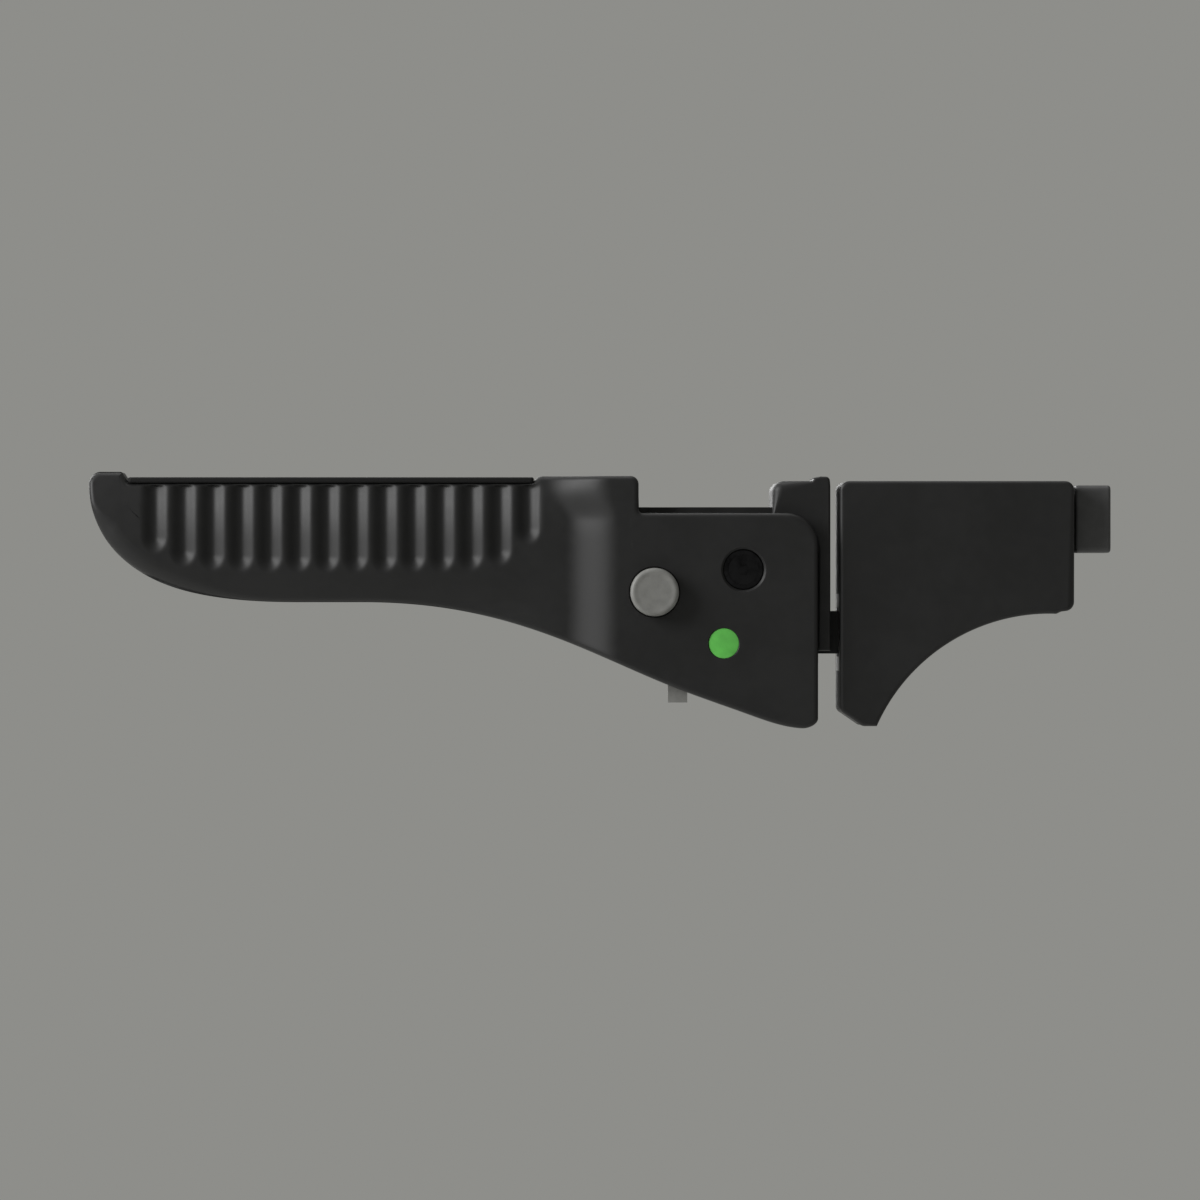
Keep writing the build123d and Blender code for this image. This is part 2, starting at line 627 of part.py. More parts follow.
def handle_side():
    """Face seen from the front: the tip's curve, the level belly, the drop to the hub's toe and the panel."""
    belly_end = -GRIP_REACH + TIP_SWEEP + BELLY_LENGTH
    fall, run = -HUB_DROP - GRIP_BELLY, HUB_FRONT - belly_end
    slope = [(belly_end + run * x, GRIP_BELLY + fall * y) for x, y in DROP_SHAPE]
    tip_fall = GRIP_ROOF - GRIP_BELLY
    nose = [(-GRIP_REACH + TIP_SWEEP * x, GRIP_ROOF - tip_fall * y) for x, y in NOSE_SHAPE]
    with BuildSketch() as face:
        with BuildLine():
            Spline(*nose, tangents=((0, -1), (1, 0)))
            Line(nose[-1], slope[0])
            Spline(*slope, tangents=((1, 0), TOE_TANGENT))
            Spline(slope[-1], (HUB_FRONT, -HUB_DROP + PANEL_TOE), tangents=(TOE_TANGENT, (0, 1)))
            Line((HUB_FRONT, -HUB_DROP + PANEL_TOE), (HUB_FRONT, PANEL_TOP - PANEL_CORNER))
            TangentArc((HUB_FRONT, PANEL_TOP - PANEL_CORNER), (HUB_FRONT - PANEL_CORNER, PANEL_TOP),
                       tangent=(0, 1))
            Polyline((HUB_FRONT - PANEL_CORNER, PANEL_TOP), (HUB_BACK, PANEL_TOP), (HUB_BACK, BULGE_TOP),
                     (BULGE_BACK, BULGE_TOP), (BULGE_BACK, GRIP_ROOF), (LIP_BACK, GRIP_ROOF),
                     (LIP_BACK, LIP_TOP), (-GRIP_REACH + LIP_TOP - GRIP_ROOF, LIP_TOP))
            Spline((-GRIP_REACH + LIP_TOP - GRIP_ROOF, LIP_TOP), nose[0], tangents=((-1, 0), (0, -1)))
        make_face()
    return face.sketch


def valley_places():
    """Centres of the valleys between the ribs, along X, from the bulge towards the tip."""
    last = BULGE_BACK + RIB_PITCH / 2
    first = LIP_BACK + RIB_MARGIN
    count = int((last - first) / RIB_PITCH) + 1
    return [last - RIB_PITCH * (index + 1) + RIB_PITCH / 2 for index in range(count)]


def handle_shell():
    """One moulding: the grip, open below to straddle the rail, the bulge and the hub's two cheeks."""
    outline = handle_side()
    outer = handle_plan(-GRIP_REACH, GRIP_HALF, HUB_HALF, TIP_ROUND)
    inner = handle_plan(-GRIP_REACH + TIP_WALL, GRIP_INNER, CHEEK_INNER, TIP_ROUND - GRIP_WALL)
    socket = flatted(SHAFT_DIAMETER + 2 * RUN_FIT, SHAFT_FLATS + 2 * RUN_FIT)
    with BuildPart() as shell:
        with BuildSketch(side(HUB_HALF)):
            add(outline)
        extrude(amount=2 * HUB_HALF)
        with BuildSketch(plan(-REACH / 2)):
            add(outer)
        extrude(amount=REACH, mode=Mode.INTERSECT)
        with BuildSketch(plan(-REACH / 2)):
            add(inner)
            rectangle(-REACH, BULGE_BACK, -REACH, REACH, mode=Mode.INTERSECT)
        extrude(amount=REACH / 2 + GRIP_ROOF - ROOF_THICKNESS, mode=Mode.SUBTRACT)
        with BuildSketch(plan(-REACH / 2)):
            add(inner)
            rectangle(BULGE_BACK, HUB_BACK, -REACH, REACH, mode=Mode.INTERSECT)
        extrude(amount=REACH / 2 + BULGE_TOP - ROOF_THICKNESS, mode=Mode.SUBTRACT)
        with BuildSketch(plan(-REACH / 2)):
            rectangle(HUB_BACK, REACH, -CHEEK_INNER, CHEEK_INNER)
        extrude(amount=REACH, mode=Mode.SUBTRACT)
        with BuildSketch(across(-REACH)):
            rectangle(-GRIP_NOTCH, GRIP_NOTCH, -REACH, SOCKET_TOP + 2 * PLAY)
        extrude(amount=REACH + LIP_BACK, mode=Mode.SUBTRACT)
        for outward in (1, -1):
            with BuildSketch(side(-outward * (CHEEK_INNER - GUARD_THICKNESS + FIT))):
                with BuildLine():
                    Polyline((HUB_BACK - 1, SHOULDER_Z), (HUB_BACK - 1, GUARD_TOP), (GUARD_FRONT, GUARD_TOP),
                             (GUARD_FRONT + GUARD_SLOPE, SHOULDER_Z), close=True)
                make_face()
            extrude(amount=outward * GUARD_THICKNESS)
            with BuildSketch(side(-outward * BOSS_FACE)):
                Circle(PIVOT_BOSS)
            extrude(amount=outward * (CHEEK_INNER + FIT - BOSS_FACE))
            with BuildSketch(side(-outward * BOSS_FACE)):
                add(socket)
            extrude(amount=outward * REACH, mode=Mode.SUBTRACT)
            with BuildSketch(side(-outward * COUNTERBORE_FLOOR)):
                Circle(COUNTERBORE)
            extrude(amount=outward * REACH, mode=Mode.SUBTRACT)
            with BuildSketch(side()):
                with Locations((LENS_X, LENS_Z)):
                    Circle(LENS_RADIUS)
            extrude(amount=outward * REACH, mode=Mode.SUBTRACT)
            centre = outward * (GRIP_HALF + VALLEY_RADIUS - RIB_HEIGHT)
            with BuildSketch(plan(RIB_LOW)):
                with Locations(*[(x, -centre) for x in valley_places()]):
                    Circle(VALLEY_RADIUS)
            extrude(amount=GRIP_ROOF - ROOF_THICKNESS - RIB_LOW, mode=Mode.SUBTRACT)
        with BuildSketch(side()):
            with Locations((BUTTON_X, BUTTON_Z)):
                Circle(BUTTON_RADIUS + BUTTON_FIT)
        extrude(amount=REACH, mode=Mode.SUBTRACT)
        with BuildSketch(side(-CATCH_OUTER)):
            with Locations(*[(x, TORSION_Z) for x in TORSION_ENDS]):
                Circle(TORSION_PAD)
        extrude(amount=CHEEK_INNER + FIT - CATCH_OUTER)
        with BuildSketch(side(-CATCH_OUTER)):
            with Locations(*[(x, TORSION_Z) for x in TORSION_ENDS]):
                Circle(CATCH_SCREW)
        extrude(amount=CHEEK_INNER + 1 - CATCH_OUTER, mode=Mode.SUBTRACT)
    return shell


def grip_strip():
    """Soft strip let into the top of the grip between the tip's lip and the bulge."""
    with BuildPart() as strip:
        half = GRIP_HALF - STRIP_MARGIN
        with BuildSketch(plan(GRIP_ROOF)):
            rectangle(LIP_BACK + FIT, BULGE_BACK - FIT, -half, half)
        extrude(amount=STRIP_THICKNESS)
        fillet(strip.edges().filter_by(Axis.X).group_by(Axis.Z)[-1], radius=STRIP_THICKNESS / 2)
    return strip


def shaft_washers():
    """Washers on the floors of the counterbores."""
    with BuildPart() as washers:
        for outward in (1, -1):
            with BuildSketch(side(-outward * COUNTERBORE_FLOOR)):
                Circle(WASHER_RADIUS)
                Circle(PIVOT_SCREW + RUN_FIT, mode=Mode.SUBTRACT)
            extrude(amount=outward * WASHER_THICKNESS)
    return washers


def shaft_screws():
    """Socket-headed screws that hold the handle's cheeks on the shaft's ends."""
    seat = COUNTERBORE_FLOOR + WASHER_THICKNESS
    length = seat - CHAMBER_HALF - PLAY
    front = Plane(origin=side(-seat).origin, x_dir=(-1, 0, 0), z_dir=(0, 1, 0))
    seats = [(side(seat), [(0, 0)]), (front, [(0, 0)])]
    return pan_screws(seats, PIVOT_SCREW, length, PIVOT_SCREW_HEAD, PIVOT_SCREW, SCREW_SOCKET)


def indicator_lens(outward):
    """Clear green window in one cheek, flush outside and flanged inside."""
    with BuildPart() as lens:
        with BuildSketch(side(-outward * CHEEK_INNER)):
            with Locations((LENS_X, LENS_Z)):
                Circle(LENS_RADIUS)
        extrude(amount=outward * HUB_WALL)
        with BuildSketch(side(-outward * CHEEK_INNER)):
            with Locations((LENS_X, LENS_Z)):
                Circle(LENS_FLANGE)
        extrude(amount=-outward * LENS_FLANGE_THICKNESS)
    return lens


def catch_arm():
    """Springy rocker: a pad behind the button, a torsion bar across it, a hook and a tail below."""
    with BuildPart() as arm:
        with BuildSketch(side(-CATCH_INNER)):
            with BuildLine():
                Polyline((CATCH_X - CATCH_HALF, CATCH_BOTTOM), (CATCH_X + CATCH_HALF, CATCH_BOTTOM),
                         (CATCH_X + CATCH_HALF, TORSION_Z), (BUTTON_X + CATCH_PAD, BUTTON_Z),
                         (BUTTON_X - CATCH_PAD / 2, BUTTON_Z), (CATCH_X - CATCH_HALF, TORSION_Z), close=True)
            make_face()
            with Locations((BUTTON_X, BUTTON_Z)):
                Circle(CATCH_PAD)
            rectangle(*TORSION_ENDS, TORSION_Z - TORSION_WIDTH / 2, TORSION_Z + TORSION_WIDTH / 2)
            with Locations(*[(x, TORSION_Z) for x in TORSION_ENDS]):
                Circle(TORSION_PAD)
        extrude(amount=CATCH_THICKNESS)
        with BuildSketch(side(-CATCH_INNER)):
            with Locations((CATCH_X, HOOK_Z)):
                Rectangle(2 * HOOK_HALF, 2 * HOOK_HALF)
        extrude(amount=-HOOK_REACH)
        with BuildSketch(side()):
            with Locations(*[(x, TORSION_Z) for x in TORSION_ENDS]):
                Circle(CATCH_SCREW + RUN_FIT)
        extrude(amount=REACH, mode=Mode.SUBTRACT)
    return arm


def catch_screws():
    """Two small screws through the ends of the torsion bar into the front cheek."""
    seats = [(side(-CATCH_INNER), [(x, TORSION_Z) for x in TORSION_ENDS])]
    length = CHEEK_INNER + 1 - CATCH_INNER - RUN_FIT
    return pan_screws(seats, CATCH_SCREW, length, CATCH_SCREW_HEAD, CATCH_SCREW_HEAD_HEIGHT)


def release_button():
    """Round push button with a flange that stops it against the inside of the front cheek."""
    with BuildPart() as button:
        with BuildSketch(side(-CHEEK_INNER)):
            with Locations((BUTTON_X, BUTTON_Z)):
                Circle(BUTTON_RADIUS)
        extrude(amount=HUB_WALL + BUTTON_PROUD)
        rim = button.faces().sort_by(Axis.Y)[0].edges()
        chamfer(rim, length=BUTTON_BEVEL)
        with BuildSketch(side(-CHEEK_INNER)):
            with Locations((BUTTON_X, BUTTON_Z)):
                Circle(BUTTON_FLANGE)
        extrude(amount=-BUTTON_FLANGE_THICKNESS)
    return button


def keeper_housing():
    """Cap on the top of the post, open below, with a cheek that sweeps up from its toe to its heel."""
    with BuildPart() as keeper:
        with BuildSketch(side(KEEPER_HALF)):
            with BuildLine():
                arc_right = (KEEPER_RIGHT - KEEPER_ARC_INSET, KEEPER_HEEL - KEEPER_LEDGE)
                arc_left = (KEEPER_LEFT + KEEPER_ARC_FOOT, -KEEPER_DROP)
                arc_middle = (KEEPER_LEFT + KEEPER_BOW_ALONG * (KEEPER_RIGHT - KEEPER_LEFT),
                              KEEPER_HEEL - KEEPER_BOW_DOWN * (KEEPER_DROP + KEEPER_HEEL))
                Polyline(arc_left, (KEEPER_LEFT + TOE_RUN, -KEEPER_DROP),
                         (KEEPER_LEFT, -KEEPER_DROP + TOE_RISE), (KEEPER_LEFT, KEEPER_TOP),
                         (KEEPER_RIGHT, KEEPER_TOP), (KEEPER_RIGHT, KEEPER_HEEL), arc_right)
                ThreePointArc(arc_right, arc_middle, arc_left)
            make_face()
        extrude(amount=2 * KEEPER_HALF)
        uprights = keeper.edges().filter_by(Axis.Z).group_by(Axis.X)
        fillet(uprights[0] + uprights[-1], radius=KEEPER_ROUND)
        with BuildSketch(plan(-REACH / 2)):
            rectangle(POCKET_LEFT, POCKET_RIGHT, -POCKET_HALF, POCKET_HALF)
        extrude(amount=REACH / 2 + KEEPER_TOP - KEEPER_ROOF, mode=Mode.SUBTRACT)
        with BuildSketch(across(KEEPER_LEFT)):
            rectangle(-CUP_HALF, CUP_HALF, CUP_BOTTOM, CUP_TOP)
        extrude(amount=KEEPER_WALL, mode=Mode.SUBTRACT)
        with BuildSketch(across(KEEPER_LEFT)):
            rectangle(-CUP_HALF - CUP_BRIM, CUP_HALF + CUP_BRIM, CUP_BOTTOM - CUP_BRIM, CUP_TOP + CUP_BRIM)
        extrude(amount=CUP_FLANGE, mode=Mode.SUBTRACT)
        with BuildSketch(across(POCKET_RIGHT)):
            with Locations((0, BLOCK_CENTRE)):
                Rectangle(2 * BLOCK_NECK, 2 * BLOCK_NECK)
        extrude(amount=KEEPER_WALL, mode=Mode.SUBTRACT)
        with BuildSketch(side()):
            with Locations(((POCKET_LEFT + POCKET_RIGHT) / 2, POST_SCREW_Z)):
                Circle(POST_SCREW_RADIUS)
        extrude(amount=-REACH, mode=Mode.SUBTRACT)
    return keeper


def strike_cup():
    """Pressed steel cup in the keeper that the bolt's nose enters."""
    depth = BOLT_THROW + KEEPER_TOE + CUP_WALL
    with BuildPart() as cup:
        with BuildSketch(across(KEEPER_LEFT)):
            rectangle(-CUP_HALF, CUP_HALF, CUP_BOTTOM, CUP_TOP)
        extrude(amount=depth)
        with BuildSketch(across(KEEPER_LEFT)):
            rectangle(-CUP_HALF - CUP_BRIM, CUP_HALF + CUP_BRIM, CUP_BOTTOM - CUP_BRIM, CUP_TOP + CUP_BRIM)
        extrude(amount=CUP_FLANGE)
        with BuildSketch(across(KEEPER_LEFT)):
            rectangle(-CUP_HALF + CUP_WALL, CUP_HALF - CUP_WALL, CUP_BOTTOM + CUP_WALL, CUP_TOP - CUP_WALL)
        extrude(amount=depth - CUP_WALL, mode=Mode.SUBTRACT)
    return cup


def spindle_block():
    """Block on the keeper's far side that carries the gate's tensioning spindle."""
    with BuildPart() as block:
        with BuildSketch(across(KEEPER_RIGHT + BLOCK_GROOVE)):
            with Locations((0, BLOCK_CENTRE)):
                Rectangle(2 * BLOCK_HALF, BLOCK_HEIGHT)
        extrude(amount=BLOCK_REACH)
        fillet(block.edges().filter_by(Axis.X), radius=BLOCK_ROUND)
        with BuildSketch(across(POCKET_RIGHT)):
            with Locations((0, BLOCK_CENTRE)):
                Rectangle(2 * BLOCK_NECK, 2 * BLOCK_NECK)
        extrude(amount=KEEPER_WALL + BLOCK_GROOVE)
        with BuildSketch(across(0)):
            with Locations((0, BLOCK_CENTRE)):
                Circle(SPINDLE_DIAMETER / 2 + 2 * SLIDE_FIT)
        extrude(amount=REACH, mode=Mode.SUBTRACT)
    return block


save(chassis_half(1), "chassis_front")
save(chassis_half(-1), "chassis_rear")
save(chassis_screws(), "chassis_screws")
save(end_plate(), "end_plate")
save(end_plate_screws(), "end_plate_screws")
save(shaft_bush(1), "shaft_bush_front")
save(shaft_bush(-1), "shaft_bush_rear")
save(bolt_spring(), "bolt_spring")
save(handle_shell(), "handle_shell")
save(grip_strip(), "grip_strip")
save(pivot_shaft(), "pivot_shaft")
save(drive_pinion(), "drive_pinion")
save(shaft_screws(), "shaft_screws")
save(shaft_washers(), "shaft_washers")
save(indicator_lens(1), "indicator_lens_front")
save(indicator_lens(-1), "indicator_lens_rear")
save(catch_arm(), "catch_arm")
save(catch_screws(), "catch_screws")
save(bolt(), "bolt")
save(bolt_flags(), "bolt_flags")
save(release_button(), "release_button")
save(keeper_housing(), "keeper_housing")
save(strike_cup(), "strike_cup")
save(spindle_block(), "spindle_block")
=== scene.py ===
"""Visual model of a stair gate's latch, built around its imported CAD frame.

Sizes are millimetres measured from the handle's pivot, +X towards the keeper, +Y to the back, +Z up.
place() turns them into metres in the row frame.
"""

import math
import types

import bmesh
import bpy
import numpy as np
from bpy.props import FloatProperty, FloatVectorProperty, IntProperty, PointerProperty
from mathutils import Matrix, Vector


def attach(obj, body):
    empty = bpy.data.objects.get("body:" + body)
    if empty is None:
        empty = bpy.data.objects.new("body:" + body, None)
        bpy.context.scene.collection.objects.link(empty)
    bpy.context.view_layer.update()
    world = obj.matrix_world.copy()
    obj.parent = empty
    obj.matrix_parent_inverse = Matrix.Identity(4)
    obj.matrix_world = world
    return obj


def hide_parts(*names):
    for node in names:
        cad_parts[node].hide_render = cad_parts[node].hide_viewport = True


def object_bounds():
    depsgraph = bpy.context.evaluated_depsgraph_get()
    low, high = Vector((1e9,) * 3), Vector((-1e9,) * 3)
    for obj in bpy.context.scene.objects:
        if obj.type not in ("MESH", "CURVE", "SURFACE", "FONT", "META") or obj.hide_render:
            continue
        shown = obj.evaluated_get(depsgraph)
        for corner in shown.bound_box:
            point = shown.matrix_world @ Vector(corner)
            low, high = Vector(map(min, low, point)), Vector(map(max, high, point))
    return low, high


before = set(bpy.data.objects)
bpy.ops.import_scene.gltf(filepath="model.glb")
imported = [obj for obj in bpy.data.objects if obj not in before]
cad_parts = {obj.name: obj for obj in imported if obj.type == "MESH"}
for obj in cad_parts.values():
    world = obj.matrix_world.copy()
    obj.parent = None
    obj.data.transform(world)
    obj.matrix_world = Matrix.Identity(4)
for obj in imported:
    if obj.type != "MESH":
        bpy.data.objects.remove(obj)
CAD_BOX = [list(corner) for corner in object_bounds()]

bl_info = {
    "name": "Stair gate latch",
    "version": (1, 0, 0),
    "blender": (4, 5, 0),
    "location": "View3D > Sidebar > Gate latch",
    "description": "Builds the visual model of a stair gate latch round its CAD frame",
    "category": "Object",
}

PIVOT = np.array([34.2, 0.0, 12.0])
MM = 0.001
SMOOTH_ANGLE = math.radians(32)

# Places on the hub, as (x, z), and radii shared by the handle's holes and what stands in them.
BUTTON_PLACE = (-22.1, -5.6)
LENS_PLACE = (-4.9, -18.3)
PIVOT_HOLE = 5.1
LENS_HOLE = 3.8
BUTTON_HOLE = 6.1

# Shares of run and fall that the handle's two sweeps pass through, and the tangent into the hub's toe.
NOSE_SHAPE = ((0.0, 0.0), (0.08, 0.47), (0.29, 0.79), (0.62, 0.96), (1.0, 1.0))
DROP_SHAPE = ((0.0, 0.0), (0.23, 0.077), (0.45, 0.316), (0.68, 0.67), (0.845, 0.887), (0.965, 1.0))
TOE_TANGENT = (1, -0.05)
TOE_RISE = 2.5
LEVEL_BELLY = 16.0
LIP_LENGTH = 9.5
PANEL_CORNER = 8.0

# The cheek's edge rounding: its depth and its reach over the face, with what the tip and lip add.
EDGE_ROUND = 1.15
TIP_DEPTH = 2.2
TIP_REACH = 3.4
LIP_DEPTH = 0.25
CHEEK_ROWS = 62
ROUND_RINGS = 8

# The cheeks' inner faces.
GRIP_WALL = 2.2
HUB_WALL = 2.5
ROOF_HALF = 10.9


# Plane curves.
def smoothstep(low, high, x):
    """0 below low, 1 above high and the cubic 3t^2 - 2t^3 between."""
    t = np.clip((x - low) / (high - low), 0.0, 1.0)
    return t * t * (3 - 2 * t)


def through(points, count, start, end):
    """Cubic spline through the points with given end tangents, sampled evenly by chord length."""
    points = np.asarray(points, float)
    gaps = np.linalg.norm(np.diff(points, axis=0), axis=1)
    slopes = np.diff(points, axis=0) / gaps[:, None]
    matrix = np.eye(len(points))
    right = np.zeros_like(points)
    right[0] = np.asarray(start, float) / np.linalg.norm(start)
    right[-1] = np.asarray(end, float) / np.linalg.norm(end)
    inner = np.arange(1, len(points) - 1)
    matrix[inner, inner - 1] = gaps[1:]
    matrix[inner, inner] = 2 * (gaps[1:] + gaps[:-1])
    matrix[inner, inner + 1] = gaps[:-1]
    right[1:-1] = 3 * (gaps[1:, None] * slopes[:-1] + gaps[:-1, None] * slopes[1:])
    tangents = np.linalg.solve(matrix, right)
    reach = np.concatenate([[0], np.cumsum(gaps)])
    at = np.linspace(0, reach[-1], count)
    k = np.clip(np.searchsorted(reach, at, side="right") - 1, 0, len(gaps) - 1)
    t = ((at - reach[k]) / gaps[k])[:, None]
    h = gaps[k][:, None]
    return ((2 * t**3 - 3 * t**2 + 1) * points[k] + (t**3 - 2 * t**2 + t) * h * tangents[k]
            + (3 * t**2 - 2 * t**3) * points[k + 1] + (t**3 - t**2) * h * tangents[k + 1])


def evenly(path, count):
    """The path sampled again at even steps of its length."""
    path = np.asarray(path, float)
    reach = np.concatenate([[0], np.cumsum(np.linalg.norm(np.diff(path, axis=0), axis=1))])
    at = np.linspace(0, reach[-1], count)
    return np.stack([np.interp(at, reach, path[:, 0]), np.interp(at, reach, path[:, 1])], axis=1)


def arc(centre, radius, start, end, count):
    """Points of a circular arc, angles in degrees."""
    angle = np.radians(np.linspace(start, end, count))
    return np.stack([centre[0] + radius * np.cos(angle), centre[1] + radius * np.sin(angle)], axis=1)


def rounded(corners, radii, steps=7):
    """Closed polygon with each corner replaced by the arc of its radius that touches both sides."""
    corners = np.asarray(corners, float)
    radii = np.broadcast_to(np.asarray(radii, float), (len(corners),))
    before = np.roll(corners, 1, axis=0) - corners
    after = np.roll(corners, -1, axis=0) - corners
    before /= np.linalg.norm(before, axis=1)[:, None]
    after /= np.linalg.norm(after, axis=1)[:, None]
    half = np.arccos(np.clip((before * after).sum(axis=1), -1, 1)) / 2
    middle = before + after
    middle /= np.linalg.norm(middle, axis=1)[:, None]
    centre = corners + middle * (radii / np.sin(half))[:, None]
    first = corners + before * (radii / np.tan(half))[:, None] - centre
    last = corners + after * (radii / np.tan(half))[:, None] - centre
    t = np.linspace(0, 1, steps)[None, :, None]
    turn = (math.pi - 2 * half)[:, None, None]
    blend = (np.sin((1 - t) * turn) * first[:, None] + np.sin(t * turn) * last[:, None]) / np.sin(turn)
    return (centre[:, None] + blend).reshape(-1, 2)


def circle(centre, radius, count=72):
    """Closed circle without its last point."""
    return arc(centre, radius, 0, 360, count + 1)[:-1]


def box_outline(x_low, x_high, z_low, z_high):
    """Corners of a rectangle, counterclockwise."""
    return [(x_low, z_low), (x_high, z_low), (x_high, z_high), (x_low, z_high)]


def inward(outline):
    """Unit normals into a counterclockwise closed outline, from the sides on both sides of each point."""
    ahead = np.roll(outline, -1, axis=0) - outline
    ahead /= np.maximum(np.linalg.norm(ahead, axis=1), 1e-9)[:, None]
    tangent = ahead + np.roll(ahead, 1, axis=0)
    tangent /= np.maximum(np.linalg.norm(tangent, axis=1), 1e-9)[:, None]
    return np.stack([-tangent[:, 1], tangent[:, 0]], axis=1)


# Surfaces.
def standing(flat, level, axis):
    """Plane points at a level along an axis: Y takes (x, z), Z takes (x, y) and X takes (y, z)."""
    level = np.broadcast_to(level, (len(flat),))
    order = {"Y": (flat[:, 0], level, flat[:, 1]), "Z": (flat[:, 0], flat[:, 1], level),
             "X": (level, flat[:, 0], flat[:, 1])}
    return np.stack(order[axis], axis=1)


def ring_faces(rings, count):
    """Quads between rings of count points each, closed round the ring."""
    row = np.arange(rings - 1)[:, None] * count
    here, beyond = np.arange(count)[None, :], (np.arange(count)[None, :] + 1) % count
    quads = [row + here, row + beyond, row + count + beyond, row + count + here]
    return np.stack(quads, axis=-1).reshape(-1, 4)


def slab(outline, low, high, radius=0.3, axis="Y", steps=5, support=0.12):
    """Outline carried from low to high. Its edges are quarter rounds: the ring at angle a is inset by
    r(1 - cos a) and stands r(1 - sin a) short of the end. A level ring inside each keeps the face flat."""
    outline = np.asarray(outline, float)
    normal = inward(outline)
    radius = np.broadcast_to(np.asarray(radius, float), (len(outline),))
    angle = np.linspace(0, math.pi / 2, steps + 1)
    inset = radius[None, :] * (1 - np.cos(angle))[:, None]
    short = radius[None, :] * (1 - np.sin(angle))[:, None]
    inset = np.concatenate([inset[:1], inset, inset[-1:] + support])
    short = np.concatenate([short[:1] + support, short, short[-1:]])
    rings = [standing(outline + normal * e[:, None], low + s, axis) for e, s in zip(inset[::-1], short[::-1])]
    rings += [standing(outline + normal * e[:, None], high - s, axis) for e, s in zip(inset, short)]
    count = len(outline)
    faces = ring_faces(len(rings), count).tolist()
    faces.append(list(range(count))[::-1])
    faces.append(list(range((len(rings) - 1) * count, len(rings) * count)))
    return np.concatenate(rings), faces


def turned(profile, centre, axis="Y", steps=72):
    """Profile of (radius, level) carried round an axis through the centre, closed where the radius is nil."""
    profile = np.asarray(profile, float)
    angle = np.linspace(0, 2 * math.pi, steps, endpoint=False)
    across = profile[:, :1] * np.cos(angle)[None, :]
    along = profile[:, :1] * np.sin(angle)[None, :]
    flat = np.stack([centre[0] + across, centre[1] + along], axis=-1).reshape(-1, 2)
    points = standing(flat, np.repeat(profile[:, 1], steps), axis)
    return points, ring_faces(len(profile), steps).tolist()


def beam(x, top, bottom, half):
    """Rectangular sections across the gate at each x, from bottom to top and half to each side."""
    corners = np.stack([
        np.stack([x, -half, bottom], axis=1), np.stack([x, half, bottom], axis=1),
        np.stack([x, half, top], axis=1), np.stack([x, -half, top], axis=1)], axis=1)
    faces = ring_faces(len(x), 4).tolist()
    last = 4 * (len(x) - 1)
    faces += [[3, 2, 1, 0], [last, last + 1, last + 2, last + 3]]
    return corners.reshape(-1, 3), faces


def place(points):
    """Millimetres from the pivot to metres in the row frame."""
    return (np.asarray(points, float) + PIVOT) * MM


def shell(name, parts, merge=0.02):
    """One object from several surfaces: doubles merged, faces turned outwards."""
    verts, faces, start = [], [], 0
    for points, sides in parts:
        verts.append(points)
        faces += [[start + index for index in side] for side in sides]
        start += len(points)
    mesh = bpy.data.meshes.new(name)
    mesh.from_pydata(place(np.concatenate(verts)).tolist(), [], faces)
    work = bmesh.new()
    work.from_mesh(mesh)
    bmesh.ops.remove_doubles(work, verts=work.verts, dist=merge * MM)
    bmesh.ops.dissolve_degenerate(work, edges=work.edges, dist=1e-7)
    bmesh.ops.recalc_face_normals(work, faces=work.faces)
    work.to_mesh(mesh)
    work.free()
    made = bpy.data.objects.new(name, mesh)
    bpy.context.scene.collection.objects.link(made)
    return made


def carve(target, tools, operation="DIFFERENCE"):
    """Cuts each closed surface out of the target, or joins it on, and leaves a plain mesh."""
    for number, tool in enumerate(tools):
        cutter = shell(f"{target.name}_tool_{number}", [tool], merge=0.001)
        modifier = target.modifiers.new("carve", "BOOLEAN")
        modifier.operation = operation
        modifier.solver = "EXACT"
        modifier.object = cutter
        bpy.context.view_layer.update()
        graph = bpy.context.evaluated_depsgraph_get()
        result = bpy.data.meshes.new_from_object(target.evaluated_get(graph))
        old = target.data
        target.modifiers.clear()
        target.data = result
        bpy.data.meshes.remove(old)
        bpy.data.objects.remove(cutter)
    if not target.data.polygons:
        raise RuntimeError(f"nothing is left of {target.name}")


def finish_piece(target, material, body, slot, *nodes):
    """Smooth shading with sharp edges kept, one material, and the piece's place in the frame."""
    target.data.materials.clear()
    target.data.materials.append(material)
    target.data.shade_smooth()
    target.data.set_sharp_from_angle(angle=SMOOTH_ANGLE)
    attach(target, body)
    if nodes:
        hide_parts(*nodes)
    return target


# Materials.
def tree_group(name, inputs, outputs):
    """New shader node group with its sockets, its inputs node and its outputs node."""
    group = bpy.data.node_groups.new(name, "ShaderNodeTree")
    for label, kind, value in inputs:
        socket = group.interface.new_socket(label, in_out="INPUT", socket_type=kind)
        socket.default_value = value
    for label, kind in outputs:
        group.interface.new_socket(label, in_out="OUTPUT", socket_type=kind)
    return group, group.nodes.new("NodeGroupInput"), group.nodes.new("NodeGroupOutput")


def noise_node(tree, vector, scale=None, detail=2.0, rough=0.5):
    """Noise texture on the given coordinates."""
    node = tree.nodes.new("ShaderNodeTexNoise")
    node.inputs["Detail"].default_value = detail
    node.inputs["Roughness"].default_value = rough
    if scale is not None:
        node.inputs["Scale"].default_value = scale
    tree.links.new(vector, node.inputs["Vector"])
    return node


def math_node(tree, operation, *values):
    """Math node fed by sockets or numbers."""
    node = tree.nodes.new("ShaderNodeMath")
    node.operation = operation
    for socket, value in zip(node.inputs, values):
        if isinstance(value, (int, float)):
            socket.default_value = value
        else:
            tree.links.new(value, socket)
    return node.outputs[0]


